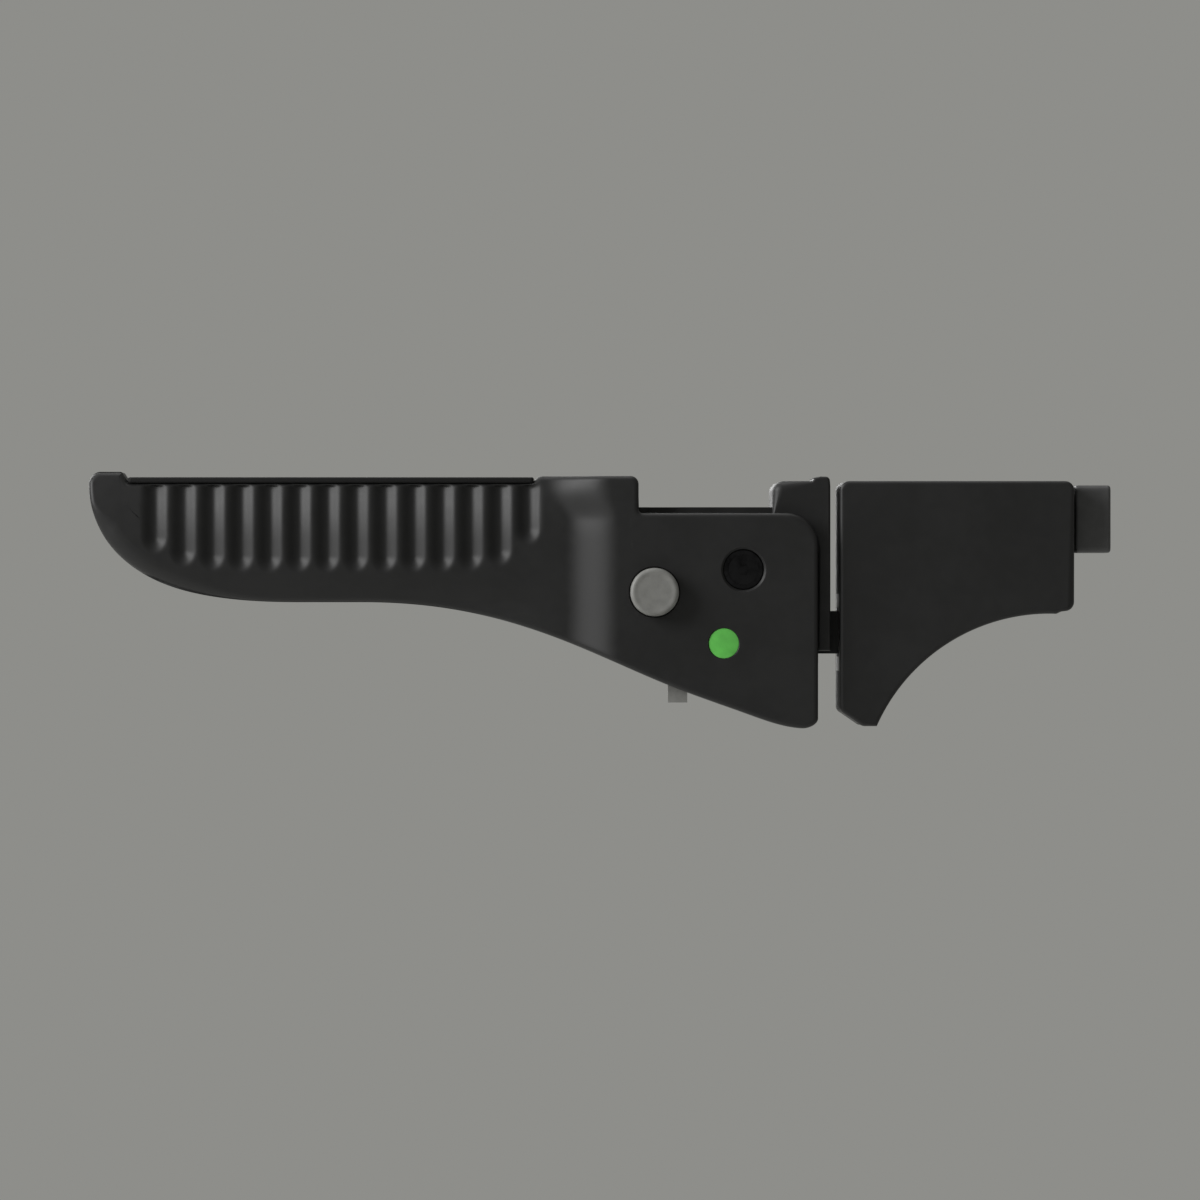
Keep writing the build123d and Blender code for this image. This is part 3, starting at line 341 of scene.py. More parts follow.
def ramp_node(tree, value, low, high, to_low=0.0, to_high=1.0):
    """Map Range node, clamped and smooth."""
    node = tree.nodes.new("ShaderNodeMapRange")
    node.interpolation_type = "SMOOTHSTEP"
    for label, number in (("From Min", low), ("From Max", high), ("To Min", to_low), ("To Max", to_high)):
        node.inputs[label].default_value = number
    tree.links.new(value, node.inputs["Value"])
    return node.outputs["Result"]


def grain_group():
    """Moulded texture: fine pits for the height, slow mottling for the roughness and the tone."""
    group, given, made = tree_group(
        "moulded_grain",
        [("Grains per metre", "NodeSocketFloat", 2600.0), ("Roughness", "NodeSocketFloat", 0.45),
         ("Spread", "NodeSocketFloat", 0.08)],
        [("Roughness", "NodeSocketFloat"), ("Height", "NodeSocketFloat"), ("Tone", "NodeSocketFloat")])
    place_node = group.nodes.new("ShaderNodeTexCoord").outputs["Object"]
    fine = noise_node(group, place_node, detail=3.0, rough=0.6)
    group.links.new(given.outputs["Grains per metre"], fine.inputs["Scale"])
    slow = noise_node(group, place_node, 55.0, 4.0)
    middle = noise_node(group, place_node, 420.0, 2.0)
    mixed = math_node(group, "ADD", math_node(group, "MULTIPLY", slow.outputs["Fac"], 0.65),
                      math_node(group, "MULTIPLY", middle.outputs["Fac"], 0.35))
    centred = math_node(group, "SUBTRACT", mixed, 0.5)
    spread = math_node(group, "MULTIPLY", centred, math_node(group, "MULTIPLY", given.outputs["Spread"], 4.0))
    group.links.new(math_node(group, "ADD", given.outputs["Roughness"], spread), made.inputs["Roughness"])
    group.links.new(fine.outputs["Fac"], made.inputs["Height"])
    group.links.new(ramp_node(group, mixed, 0.35, 0.65), made.inputs["Tone"])
    return group


def edge_highlight_group():
    """Painted highlight on the mesh's convex edges, broken up by noise."""
    group, given, made = tree_group(
        "edge_wear", [("Amount", "NodeSocketFloat", 0.5)], [("Mask", "NodeSocketFloat")])
    place_node = group.nodes.new("ShaderNodeTexCoord").outputs["Object"]
    sharp = ramp_node(group, group.nodes.new("ShaderNodeNewGeometry").outputs["Pointiness"], 0.505, 0.56)
    patches = ramp_node(group, noise_node(group, place_node, 160.0, 4.0, 0.65).outputs["Fac"], 0.42, 0.62)
    highlit = math_node(group, "MULTIPLY", sharp, patches)
    group.links.new(math_node(group, "MULTIPLY", highlit, given.outputs["Amount"]), made.inputs["Mask"])
    return group


def turned_group():
    """Plated or drawn metal: fine marks stretched along the gate, and soft stains."""
    group, given, made = tree_group(
        "metal_marks", [("Roughness", "NodeSocketFloat", 0.3)],
        [("Roughness", "NodeSocketFloat"), ("Height", "NodeSocketFloat"), ("Stain", "NodeSocketFloat")])
    place_node = group.nodes.new("ShaderNodeTexCoord").outputs["Object"]
    stretch = group.nodes.new("ShaderNodeMapping")
    stretch.inputs["Scale"].default_value = (0.15, 1.0, 1.0)
    group.links.new(place_node, stretch.inputs["Vector"])
    marks = noise_node(group, stretch.outputs["Vector"], 5200.0, 2.0)
    stains = noise_node(group, place_node, 260.0, 5.0, 0.6)
    shift = math_node(group, "MULTIPLY", math_node(group, "SUBTRACT", stains.outputs["Fac"], 0.5), 0.5)
    group.links.new(math_node(group, "ADD", given.outputs["Roughness"], shift), made.inputs["Roughness"])
    group.links.new(marks.outputs["Fac"], made.inputs["Height"])
    group.links.new(ramp_node(group, stains.outputs["Fac"], 0.4, 0.7), made.inputs["Stain"])
    return group


def shader_with(name, effect, values):
    """New material with a Principled shader, one effect group and a Bump on its height."""
    material = bpy.data.materials.new(f"latch_{name}")
    material.use_nodes = True
    tree = material.node_tree
    shader = tree.nodes["Principled BSDF"]
    node = tree.nodes.new("ShaderNodeGroup")
    node.node_tree = bpy.data.node_groups[effect]
    for label, value in values.items():
        node.inputs[label].default_value = value
    bump = tree.nodes.new("ShaderNodeBump")
    tree.links.new(node.outputs["Height"], bump.inputs["Height"])
    tree.links.new(bump.outputs["Normal"], shader.inputs["Normal"])
    tree.links.new(node.outputs["Roughness"], shader.inputs["Roughness"])
    return material, tree, shader, node, bump


def blended(tree, factor, low, high):
    """Colour that goes from low to high with the factor."""
    mix = tree.nodes.new("ShaderNodeMix")
    mix.data_type = "RGBA"
    tree.links.new(factor, mix.inputs["Factor"])
    for label, value in (("A", low), ("B", high)):
        socket = [s for s in mix.inputs if s.name == label and s.type == "RGBA"][0]
        if isinstance(value, bpy.types.NodeSocket):
            tree.links.new(value, socket)
        else:
            socket.default_value = (*value, 1.0)
    return [s for s in mix.outputs if s.type == "RGBA"][0]


def plastic(name, colour, roughness, depth=0.012, grains=2600.0, edge_light=0.35, spread=0.05, level=0.36):
    """Satin moulded plastic: grain, mottled roughness, and convex edges painted paler as a highlight."""
    values = {"Grains per metre": grains, "Roughness": roughness, "Spread": spread}
    material, tree, shader, grain, bump = shader_with(name, "moulded_grain", values)
    colour = np.asarray(colour[:3])
    edge_lit = tree.nodes.new("ShaderNodeGroup")
    edge_lit.node_tree = bpy.data.node_groups["edge_wear"]
    edge_lit.inputs["Amount"].default_value = edge_light
    body = blended(tree, grain.outputs["Tone"], colour * 0.86, colour * 1.14)
    # Painted highlight: convex edges blend to this paler colour.
    pale = np.clip(colour * 1.5 + 0.006, 0, 1)
    tree.links.new(blended(tree, edge_lit.outputs["Mask"], body, pale), shader.inputs["Base Color"])
    bump.inputs["Strength"].default_value = depth * 10
    bump.inputs["Distance"].default_value = 0.00004
    shader.inputs["Specular IOR Level"].default_value = level
    return material


def metal(name, colour, roughness, stain):
    """Metal with fine marks and duller stains."""
    material, tree, shader, marks, bump = shader_with(name, "metal_marks", {"Roughness": roughness})
    tree.links.new(blended(tree, marks.outputs["Stain"], colour[:3], stain), shader.inputs["Base Color"])
    shader.inputs["Metallic"].default_value = 1.0
    bump.inputs["Strength"].default_value = 0.25
    bump.inputs["Distance"].default_value = 0.00002
    return material


def make_materials(finish):
    """Every finish of the latch, by its slot."""
    grain_group()
    edge_highlight_group()
    turned_group()
    black = finish.body_colour
    made = {
        "body_plastic": plastic("body_plastic", black, finish.body_roughness),
        "chassis_plastic": plastic("chassis_plastic", np.asarray(black) * 0.8, 0.5, edge_light=0.2),
        "block_plastic": plastic("block_plastic", np.asarray(black) * 6.5, 0.5),
        "grip_rubber": plastic("grip_rubber", finish.strip_colour, 0.78, 0.07, 1800.0, 0.1, 0.05, 0.3),
        "bolt_plastic": plastic("bolt_plastic", np.asarray(black) * 0.55, 0.38, 0.02, 3000.0, 0.3),
        "grey_plastic": plastic("grey_plastic", finish.button_colour, 0.5, 0.05, 2200.0, 0.25),
        "flag_plastic": plastic("flag_plastic", (0.75, 0.75, 0.72), 0.4, 0.02),
        "acetal": plastic("acetal", (0.62, 0.61, 0.56), 0.35, 0.015, 3000.0, 0.1),
        "green_lens": plastic("green_lens", finish.lens_colour, 0.22, 0.008, 1500.0, 0.0, 0.03),
        # Dark metal for the pivot screws and washers, darkened to paint the shade of the pivot holes they sit
        # in.
        "black_screw": metal("black_screw", (0.03, 0.03, 0.032), 0.22, (0.015, 0.015, 0.016)),
        "shaft_steel": metal("shaft_steel", (0.52, 0.52, 0.53), 0.28, (0.36, 0.36, 0.37)),
        "spring_steel": metal("spring_steel", (0.42, 0.42, 0.44), 0.3, (0.28, 0.28, 0.3)),
        "cup_steel": metal("cup_steel", (0.48, 0.48, 0.49), 0.34, (0.3, 0.3, 0.31)),
        "zinc_screw": metal("zinc_screw", (0.6, 0.61, 0.63), 0.26, (0.42, 0.43, 0.46)),
    }
    lens = made["green_lens"].node_tree.nodes["Principled BSDF"]
    lens.inputs["Coat Weight"].default_value = 0.6
    lens.inputs["Coat Roughness"].default_value = 0.08
    return made


# The handle.
def nose_path(s, count):
    """The tip's curve from the lip down and back to the belly."""
    fall = s.grip_roof - s.grip_belly
    points = [(-s.grip_reach + s.tip_sweep * x, s.grip_roof - fall * z) for x, z in NOSE_SHAPE]
    return through(points, count, (0, -1), (1, 0))


def handle_edges(s):
    """The handle seen from the front as four paths: left edge up, bottom and top to the right, and right
    edge up."""
    nose = nose_path(s, 400)
    split = int(np.searchsorted(nose[:, 0], -s.grip_reach + 15.5))
    belly_end = -s.grip_reach + s.tip_sweep + LEVEL_BELLY
    run, fall = s.hub_front - belly_end, -s.hub_drop - s.grip_belly
    slope = [(belly_end + run * x, s.grip_belly + fall * z) for x, z in DROP_SHAPE]
    slope = through(slope, 500, (1, 0), TOE_TANGENT)
    toe = through([slope[-1], (s.hub_front, -s.hub_drop + TOE_RISE)], 40, TOE_TANGENT, (0, 1))
    bottom = np.concatenate([nose[split:], slope, toe[1:]])
    left = nose[:split + 1][::-1]
    lip_end, step = -s.grip_reach + LIP_LENGTH, 1.6
    x = np.linspace(-s.grip_reach + 2.8, s.hub_back - 2.0, 900)
    z = s.grip_roof + (s.lip_top - s.grip_roof) * (1 - smoothstep(lip_end - step, lip_end + 0.4, x))
    z += (s.bulge_top - s.grip_roof) * smoothstep(s.bulge_back - 1.2, s.bulge_back + 1.6, x)
    ledge = np.stack([x, z], axis=1)
    lip = through([(-s.grip_reach, s.grip_roof), (-s.grip_reach + 2.8, s.lip_top)], 30, (0, 1), (1, 0))
    over = arc((s.hub_back - 2.0, s.bulge_top - 2.0), 2.0, 90, 0, 16)
    under = arc((s.hub_back + 0.9, s.panel_top + 0.9), 0.9, 180, 270, 10)
    corner = arc((s.hub_front - PANEL_CORNER, s.panel_top - PANEL_CORNER), PANEL_CORNER, 90, 0, 40)
    top = [evenly(np.concatenate([lip, ledge[ledge[:, 0] < lip_end + 2.0]]), 40),
           evenly(ledge[(ledge[:, 0] > lip_end + 2.0) & (ledge[:, 0] < s.bulge_back + 2)], 190)[1:],
           evenly(ledge[ledge[:, 0] > s.bulge_back + 2], 34)[1:],
           evenly(np.concatenate([over, under]), 30)[1:],
           evenly(np.concatenate([under[-1:], corner[:1]]), 34)[1:],
           corner[1:]]
    counts = [len(part) for part in top]
    marks = [bottom[0][0], lip_end + 21.0, s.bulge_back + 2, s.hub_back - 4.0, s.hub_back + 5.0, 9.0,
             s.hub_front]
    low = []
    for start, end, count in zip(marks, marks[1:], counts):
        if end == s.hub_front:
            stretch = bottom[bottom[:, 0] >= start]
        else:
            stretch = bottom[(bottom[:, 0] >= start) & (bottom[:, 0] <= end)]
        low.append(evenly(stretch, count + 1)[1:] if low else evenly(stretch, count))
    heights = [-s.hub_drop + TOE_RISE, s.panel_top - PANEL_CORNER]
    right = np.stack([np.full(2, s.hub_front), heights], axis=1)
    return left, np.concatenate(low), np.concatenate(top), right


def flare(s, x, z):
    """0 on the grip and 1 on the hub. It starts sooner near the top, where the bulge spreads to the left."""
    lead = 5.0 * smoothstep(12.0, 21.0, z)
    return smoothstep(-44.0 - lead, -31.0 - 0.4 * lead, x)


def rib_depth(s, x, z):
    """Scooped valleys between the ribs: depth (1 - q)^2.3, where q is the squared distance from the
    valley's middle line, in half pitches across and in rounded-end lengths below its foot."""
    first = -s.grip_reach + 16.4
    number = np.clip(np.round((x - first) / s.rib_pitch), 0, s.rib_count - 1)
    middle = first + number * s.rib_pitch
    foot = s.rib_foot + 8.0 * np.exp(-(middle - first + 3.0) / 6.0)
    foot = foot + 7.0 * np.exp((middle - first - s.rib_pitch * (s.rib_count - 1)) / 5.0)
    tail = np.clip((foot + 4.5 - z) / 4.5, 0, None)
    across = (x - middle) / (0.5 * s.rib_pitch)
    q = np.clip(across**2 + tail**2, 0, 1)
    return s.rib_depth * (1 - q)**2.3 * (1 - smoothstep(20.4, 21.4, z))


def outer_face(s, x, z):
    """How far the outer face stands from the middle plane: the half width, which flares to the hub, less a
    crown of ((z - 7) / 14.5)^2.2 above, a parabola below and the depth of the valleys."""
    spread = flare(s, x, z)
    high = np.clip((z - 7.0) / 14.5, 0, None)**2.2 * (2.3 - 1.6 * spread)
    low = np.clip((3.0 - z) / 11.0, 0, 1)**2 * 1.5 * (1 - smoothstep(-70.0, -45.0, x))
    return s.grip_half + (s.hub_half - s.grip_half) * spread - high - low - rib_depth(s, x, z)


def inner_face(s, x, z):
    """How far the inner face stands from the middle plane, closer in beside the roof and at the tip."""
    spread = smoothstep(-44.0, -31.0, x)
    hub = s.hub_half - HUB_WALL
    grip = s.grip_half - GRIP_WALL
    low = grip + (hub - grip) * spread
    high = ROOF_HALF + (hub - ROOF_HALF) * spread
    near_roof = np.maximum(smoothstep(7.0, 14.0, z), 1 - smoothstep(-152.0, -146.0, x))
    return low + (high - low) * near_roof


def handle_cheek(s, side):
    """One side of the handle. Its outline is inset ring by ring into a quarter round of varying radius,
    and a Coons patch, blended from the four edges of the last ring, fills the outer face."""
    left, bottom, top, right = handle_edges(s)
    rows, columns = CHEEK_ROWS, len(bottom)
    left, right = evenly(left, rows), evenly(right, rows)
    loop = np.concatenate([bottom, right[1:-1], top[::-1], left[::-1][1:-1]])
    x, z = loop[:, 0], loop[:, 1]
    tip = (1 - smoothstep(-150.0, -118.0, x)) * (1 - smoothstep(9.0, 17.0, z))
    lip = (1 - smoothstep(-156.0, -151.0, x)) * smoothstep(15.0, 21.0, z)
    radius = EDGE_ROUND + TIP_DEPTH * tip + LIP_DEPTH * lip
    reach = EDGE_ROUND + TIP_REACH * tip
    normal = inward(loop)
    rings = []
    for a in np.linspace(math.pi / 2, 0, ROUND_RINGS):
        flat = loop + normal * (reach * (1 - math.cos(math.pi / 2 - a)))[:, None]
        depth = outer_face(s, flat[:, 0], flat[:, 1]) - radius * (1 - math.sin(math.pi / 2 - a))
        rings.append(np.stack([flat[:, 0], depth, flat[:, 1]], axis=1))
    edge = np.stack([x, inner_face(s, x, z), z], axis=1)
    points = [edge] + rings
    faces = ring_faces(len(points), len(loop)).tolist()
    flat = points[-1][:, [0, 2]]
    b = flat[:columns]
    r = np.concatenate([flat[columns - 1:columns], flat[columns:columns + rows - 2],
                        flat[columns + rows - 2:columns + rows - 1]])
    t = flat[columns + rows - 2:2 * columns + rows - 2][::-1]
    l = np.concatenate([flat[:1], flat[2 * columns + rows - 2:][::-1], t[:1]])
    u = np.linspace(0, 1, columns)[:, None, None]
    v = np.linspace(0, 1, rows)[None, :, None]
    patch = ((1 - v) * b[:, None] + v * t[:, None] + (1 - u) * l[None] + u * r[None]
             - (1 - u) * (1 - v) * b[0] - u * (1 - v) * b[-1] - (1 - u) * v * t[0] - u * v * t[-1])
    px, pz = patch[..., 0].ravel(), patch[..., 1].ravel()
    face = np.stack([px, outer_face(s, px, pz), pz], axis=1)
    grid = (np.arange(columns - 1)[:, None] * rows + np.arange(rows - 1)[None, :]).ravel()
    face_quads = np.stack([grid, grid + rows, grid + rows + 1, grid + 1], axis=1).tolist()
    rise = top[:, 1] - bottom[:, 1]
    mid_low = bottom + (top - bottom) * np.clip((7.0 - bottom[:, 1]) / rise, 0.3, 0.6)[:, None]
    mid_high = bottom + (top - bottom) * np.clip((14.0 - bottom[:, 1]) / rise, 0.65, 0.95)[:, None]
    inner_rows = []
    for path in (bottom, mid_low, mid_high, top):
        inner_rows.append(np.stack([path[:, 0], inner_face(s, path[:, 0], path[:, 1]), path[:, 1]], axis=1))
    inner = np.concatenate(inner_rows)
    strip = (np.arange(3)[:, None] * columns + np.arange(columns - 1)[None, :]).ravel()
    inner_quads = np.stack([strip, strip + columns, strip + columns + 1, strip + 1], axis=1).tolist()
    left_ring = np.stack([left[:, 0], inner_face(s, left[:, 0], left[:, 1]), left[:, 1]], axis=1)
    right_ring = np.stack([right[:, 0], inner_face(s, right[:, 0], right[:, 1]), right[:, 1]], axis=1)
    base = len(inner)
    inner = np.concatenate([inner, left_ring, right_ring])
    left_side = [2 * columns, columns] + list(range(base, base + rows))
    right_side = [columns - 1 + columns, columns - 1 + 2 * columns] + list(
        range(base + 2 * rows - 1, base + rows - 1, -1))
    inner_quads += [left_side, right_side]
    parts = [(np.concatenate(points), faces), (face, face_quads), (inner, inner_quads)]
    return [(np.stack([p[:, 0], -side * p[:, 1], p[:, 2]], axis=1), f) for p, f in parts]


def handle_roof(s):
    """The closed top between the sides: the lip's end wall and crown, the strip's bed and the bulge."""
    _, _, top, _ = handle_edges(s)
    closed = top[(top[:, 0] <= s.hub_back + 0.01) & (top[:, 1] >= s.bulge_top - 1.6)
                 | (top[:, 0] < s.bulge_back + 2.0)]
    nose = nose_path(s, 400)
    wall = nose[(nose[:, 1] > 19.65)][::-1][::3]
    path = np.concatenate([wall[:-1], closed])
    x, high = path[:, 0], path[:, 1]
    low = 19.65 + 0.25 * smoothstep(-158.0, -154.0, x)
    low = low + (s.bulge_top - 1.6 - 19.9) * smoothstep(s.bulge_back, s.bulge_back + 2.0, x)
    low = np.minimum(low, high - 0.02)
    return beam(x, high, low, inner_face(s, x, np.full_like(x, 25.0)))


def make_handle(s):
    """The handle's moulding: two cheeks, the roof, the guard walls, bosses and the catch's pads."""
    guard = rounded([(s.hub_back - 1, 12.5), (5.1, 12.5), (1.7, 19.0), (s.hub_back - 1, 19.0)], 0.5)
    pieces = []
    for side in (1, -1):
        cheek = shell(f"cheek_{side}", handle_cheek(s, side))
        near, far = sorted((-side * 11.6, -side * 17.2))
        tools = [slab(circle((0, 0), 7.5), near, far, 0.25)]
        inner, outer = sorted((-side * 15.45, -side * 17.15))
        tools.append(slab(guard, inner, outer, 0.35))
        if side == 1:
            for x in (-28.0, -11.0):
                tools.append(slab(circle((x, -14.5), 2.5, 40), -17.2, -15.7, 0.15))
        carve(cheek, tools, "UNION")
        cuts = [turned([(0, -side * 14.6), (PIVOT_HOLE, -side * 14.6), (PIVOT_HOLE, -side * 19.0),
                        (5.65, -side * 19.55), (5.65, -side * 21), (0, -side * 21)], (0, 0))]
        cuts.append(turned([(0, -side * 16), (LENS_HOLE, -side * 16), (LENS_HOLE, -side * 19.3),
                            (4.0, -side * 19.55), (4.0, -side * 21), (0, -side * 21)], LENS_PLACE))
        flats = rounded([(-3.5, -3.0), (3.5, -3.0), (4.0, 0.0), (3.5, 3.0), (-3.5, 3.0), (-4.0, 0.0)], 0.5)
        cuts.append(slab(flats, *sorted((-side * 11.0, -side * 15.0)), 0.05))
        if side == 1:
            cuts.append(turned([(0, -16), (BUTTON_HOLE, -16), (BUTTON_HOLE, -19.15), (6.45, -19.55),
                                (6.45, -21), (0, -21)], BUTTON_PLACE))
        carve(cheek, cuts)
        pieces.append(cheek)
    roof = shell("roof", [handle_roof(s)])
    pieces.append(roof)
    return join("handle_shell", pieces)


def join(name, pieces):
    """One object from several, without changing a vertex."""
    work = bmesh.new()
    for item in pieces:
        work.from_mesh(item.data)
        old = item.data
        bpy.data.objects.remove(item)
        bpy.data.meshes.remove(old)
    mesh = bpy.data.meshes.new(name)
    work.to_mesh(mesh)
    work.free()
    made = bpy.data.objects.new(name, mesh)
    bpy.context.scene.collection.objects.link(made)
    return made


# Sizes and colours.
def length(name, text, default):
    """A length property, given in millimetres and stored in metres."""
    return FloatProperty(name=name, description=text, default=default * MM, precision=5, unit="LENGTH")


class GateLatchSizes(bpy.types.PropertyGroup):
    """Sizes measured from the handle's pivot."""
    grip_reach: length("Grip reach", "Pivot to the tip of the grip", 162.5)
    grip_half: length("Grip half width", "Middle plane to the grip's side", 15.0)
    hub_half: length("Hub half width", "Middle plane to the hub's side", 19.5)
    grip_roof: length("Strip bed", "Height of the bed of the strip", 21.5)
    grip_belly: length("Belly", "Height of the level stretch of the underside", -8.1)
    tip_sweep: length("Tip sweep", "How far the tip's curve runs back", 52.0)
    lip_top: length("Lip top", "Height of the lip at the tip", 24.3)
    bulge_top: length("Bulge top", "Height of the bulge between strip and hub", 23.2)
    bulge_back: length("Bulge start", "Where the bulge starts", -51.8)
    hub_back: length("Roof end", "Where the closed roof ends", -26.0)
    hub_front: length("Hub front", "Edge of the hub beside the end plate", 18.5)
    hub_drop: length("Hub drop", "Depth of the hub's toe below the pivot", 39.4)
    panel_top: length("Panel top", "Height of the hub's side panels", 14.0)
    rib_pitch: length("Rib pitch", "Distance from rib to rib", 7.13)
    rib_depth: length("Rib depth", "Depth of the valleys between ribs", 1.6)
    rib_foot: length("Rib foot", "Height of the valleys' lower ends", -1.2)
    rib_count: IntProperty(name="Valleys", description="Number of valleys between the ribs", default=14)


class GateLatchFinish(bpy.types.PropertyGroup):
    """Colours and roughness."""
    body_colour: FloatVectorProperty(name="Body", description="Black moulded plastic", subtype="COLOR",
                                     default=(0.0078, 0.0078, 0.0079))
    body_roughness: FloatProperty(name="Body roughness", description="Roughness of the moulded plastic",
                                  default=0.52, subtype="FACTOR", min=0, max=1)
    strip_colour: FloatVectorProperty(name="Strip", description="Soft strip on the grip", subtype="COLOR",
                                      default=(0.0025, 0.0025, 0.0026))
    button_colour: FloatVectorProperty(name="Button", description="Release button and catch", subtype="COLOR",
                                       default=(0.16, 0.16, 0.152))
    lens_colour: FloatVectorProperty(name="Lens", description="Indicator lenses", subtype="COLOR",
                                     default=(0.11, 0.48, 0.08))
    backdrop: FloatVectorProperty(name="Backdrop", description="Even light all round", subtype="COLOR",
                                  default=(0.27, 0.27, 0.255))
    floor: FloatVectorProperty(name="Floor", description="Pale floor", subtype="COLOR",
                               default=(0.6, 0.6, 0.58))


class PieceOperator:
    """Shared look-ups of the operators."""
    bl_options = {"REGISTER", "UNDO"}

    @property
    def sizes(self):
        """The size settings, with lengths in millimetres."""
        settings = bpy.context.scene.gate_latch_sizes
        values = {name: getattr(settings, name) for name in GateLatchSizes.__annotations__}
        return types.SimpleNamespace(**{
            name: round(value / MM, 4) if isinstance(value, float) else value
            for name, value in values.items()})

    @staticmethod
    def material(slot):
        """The finish of a slot."""
        name = f"latch_{slot}"
        if name not in bpy.data.materials:
            make_materials(bpy.context.scene.gate_latch_finish)
        return bpy.data.materials[name]


class GATELATCH_OT_handle(PieceOperator, bpy.types.Operator):
    """Builds the handle's moulding"""
    bl_idname = "gatelatch.handle"
    bl_label = "Handle"

    def execute(self, context):
        made = make_handle(self.sizes)
        finish_piece(made, self.material("body_plastic"), "handle", "body_plastic", "handle_shell")
        return {"FINISHED"}


class GATELATCH_OT_strip(PieceOperator, bpy.types.Operator):
    """Builds the soft strip on top of the grip"""
    bl_idname = "gatelatch.strip"
    bl_label = "Grip strip"

    def execute(self, context):
        s = self.sizes
        outline = rounded(box_outline(-s.grip_reach + 9.65, s.bulge_back - 0.15, -12.9, 12.9), 0.9)
        part = slab(outline, s.grip_roof, s.grip_roof + 1.45, np.full(len(outline), 0.5), "Z")
        made = shell("grip_strip", [part])
        finish_piece(made, self.material("grip_rubber"), "handle", "grip_rubber", "grip_strip")
        return {"FINISHED"}


class GATELATCH_OT_button(PieceOperator, bpy.types.Operator):
    """Builds the release button, a turned shape with a rounded rim and a shallow dish"""
    bl_idname = "gatelatch.button"
    bl_label = "Release button"

    def execute(self, context):
        rim = arc((5.1, 23.1), 0.9, 0, 90, 9)
        reach = np.linspace(4.4, 0.0, 10)
        dish = np.stack([reach, 23.88 - 0.12 * (1 - (reach / 4.4)**2)], axis=1)
        flat = np.array([(4.8, 23.98)])
        foot = [(0, 15.85), (6.7, 15.85), (7.0, 16.1), (7.0, 16.9), (6.0, 16.98), (6.0, 22.9)]
        profile = np.concatenate([foot, rim, flat, dish])
        profile[:, 1] *= -1
        made = shell("release_button", [turned(profile, BUTTON_PLACE, steps=96)])
        finish_piece(made, self.material("grey_plastic"), "button", "grey_plastic", "release_button")
        return {"FINISHED"}


class GATELATCH_OT_lenses(PieceOperator, bpy.types.Operator):
    """Builds the two green lenses, turned with a faint dome"""
    bl_idname = "gatelatch.lenses"
    bl_label = "Indicator lenses"

    def execute(self, context):
        reach = np.linspace(3.5, 0, 9)
        dome = np.stack([reach, 19.3 + 0.2 * (1 - (reach / 3.5)**2)], axis=1)
        profile = np.concatenate([[(0, 16.25), (4.1, 16.25), (4.2, 16.35), (4.2, 16.95), (3.78, 16.98),
                                   (3.78, 19.1), (3.7, 19.26)], dome])
        for side, name in ((-1, "indicator_lens_front"), (1, "indicator_lens_rear")):
            way = profile * (1, side)
            made = shell(name, [turned(way, LENS_PLACE, steps=64)])
            finish_piece(made, self.material("green_lens"), "handle", "green_lens", name)
        return {"FINISHED"}


class GATELATCH_OT_end_plate(PieceOperator, bpy.types.Operator):
    """Builds the end plate with its hood"""
    bl_idname = "gatelatch.end_plate"
    bl_label = "End plate"

    def execute(self, context):
        sweep = arc((18.7 - 8.0, 12.5 - 8.0), 8.0, 0, 90, 12)
        hood = np.concatenate([
            [(21.7, -20.2), (21.7, 20.6)], arc((20.5, 22.0), 1.1, 0, 90, 7), [(19.2, 23.15)],
            arc((18.4, 22.8), 0.9, 180, 200, 2), [(17.2, 22.0)],
            arc((7.2 + 2.8, 22.0 - 2.8), 2.8, 90, 180, 12), [(7.2, 12.5)], sweep[::-1], [(18.7, -20.2)]])
        near = hood[:, 0] < 14
        radius = np.where(near & (hood[:, 1] > 13), 2.5, 0.6)
        made = shell("end_plate", [slab(hood, -14.5, 14.5, radius)])
        cuts = [slab(box_outline(0, 18.7, -60, 12.5), -13.0, 13.0, 0.01),
                slab(box_outline(-6.24, 6.24, -60, -10.06), 17, 24, 0.01, "X")]
        for y in (-9.9, 9.9):
            cuts.append(turned([(0, 17), (1.65, 17), (1.65, 19.9), (2.95, 19.9), (2.95, 24), (0, 24)],
                               (y, -4.0), "X", 40))
        carve(made, cuts)
        finish_piece(made, self.material("body_plastic"), "chassis", "body_plastic", "end_plate")
        return {"FINISHED"}


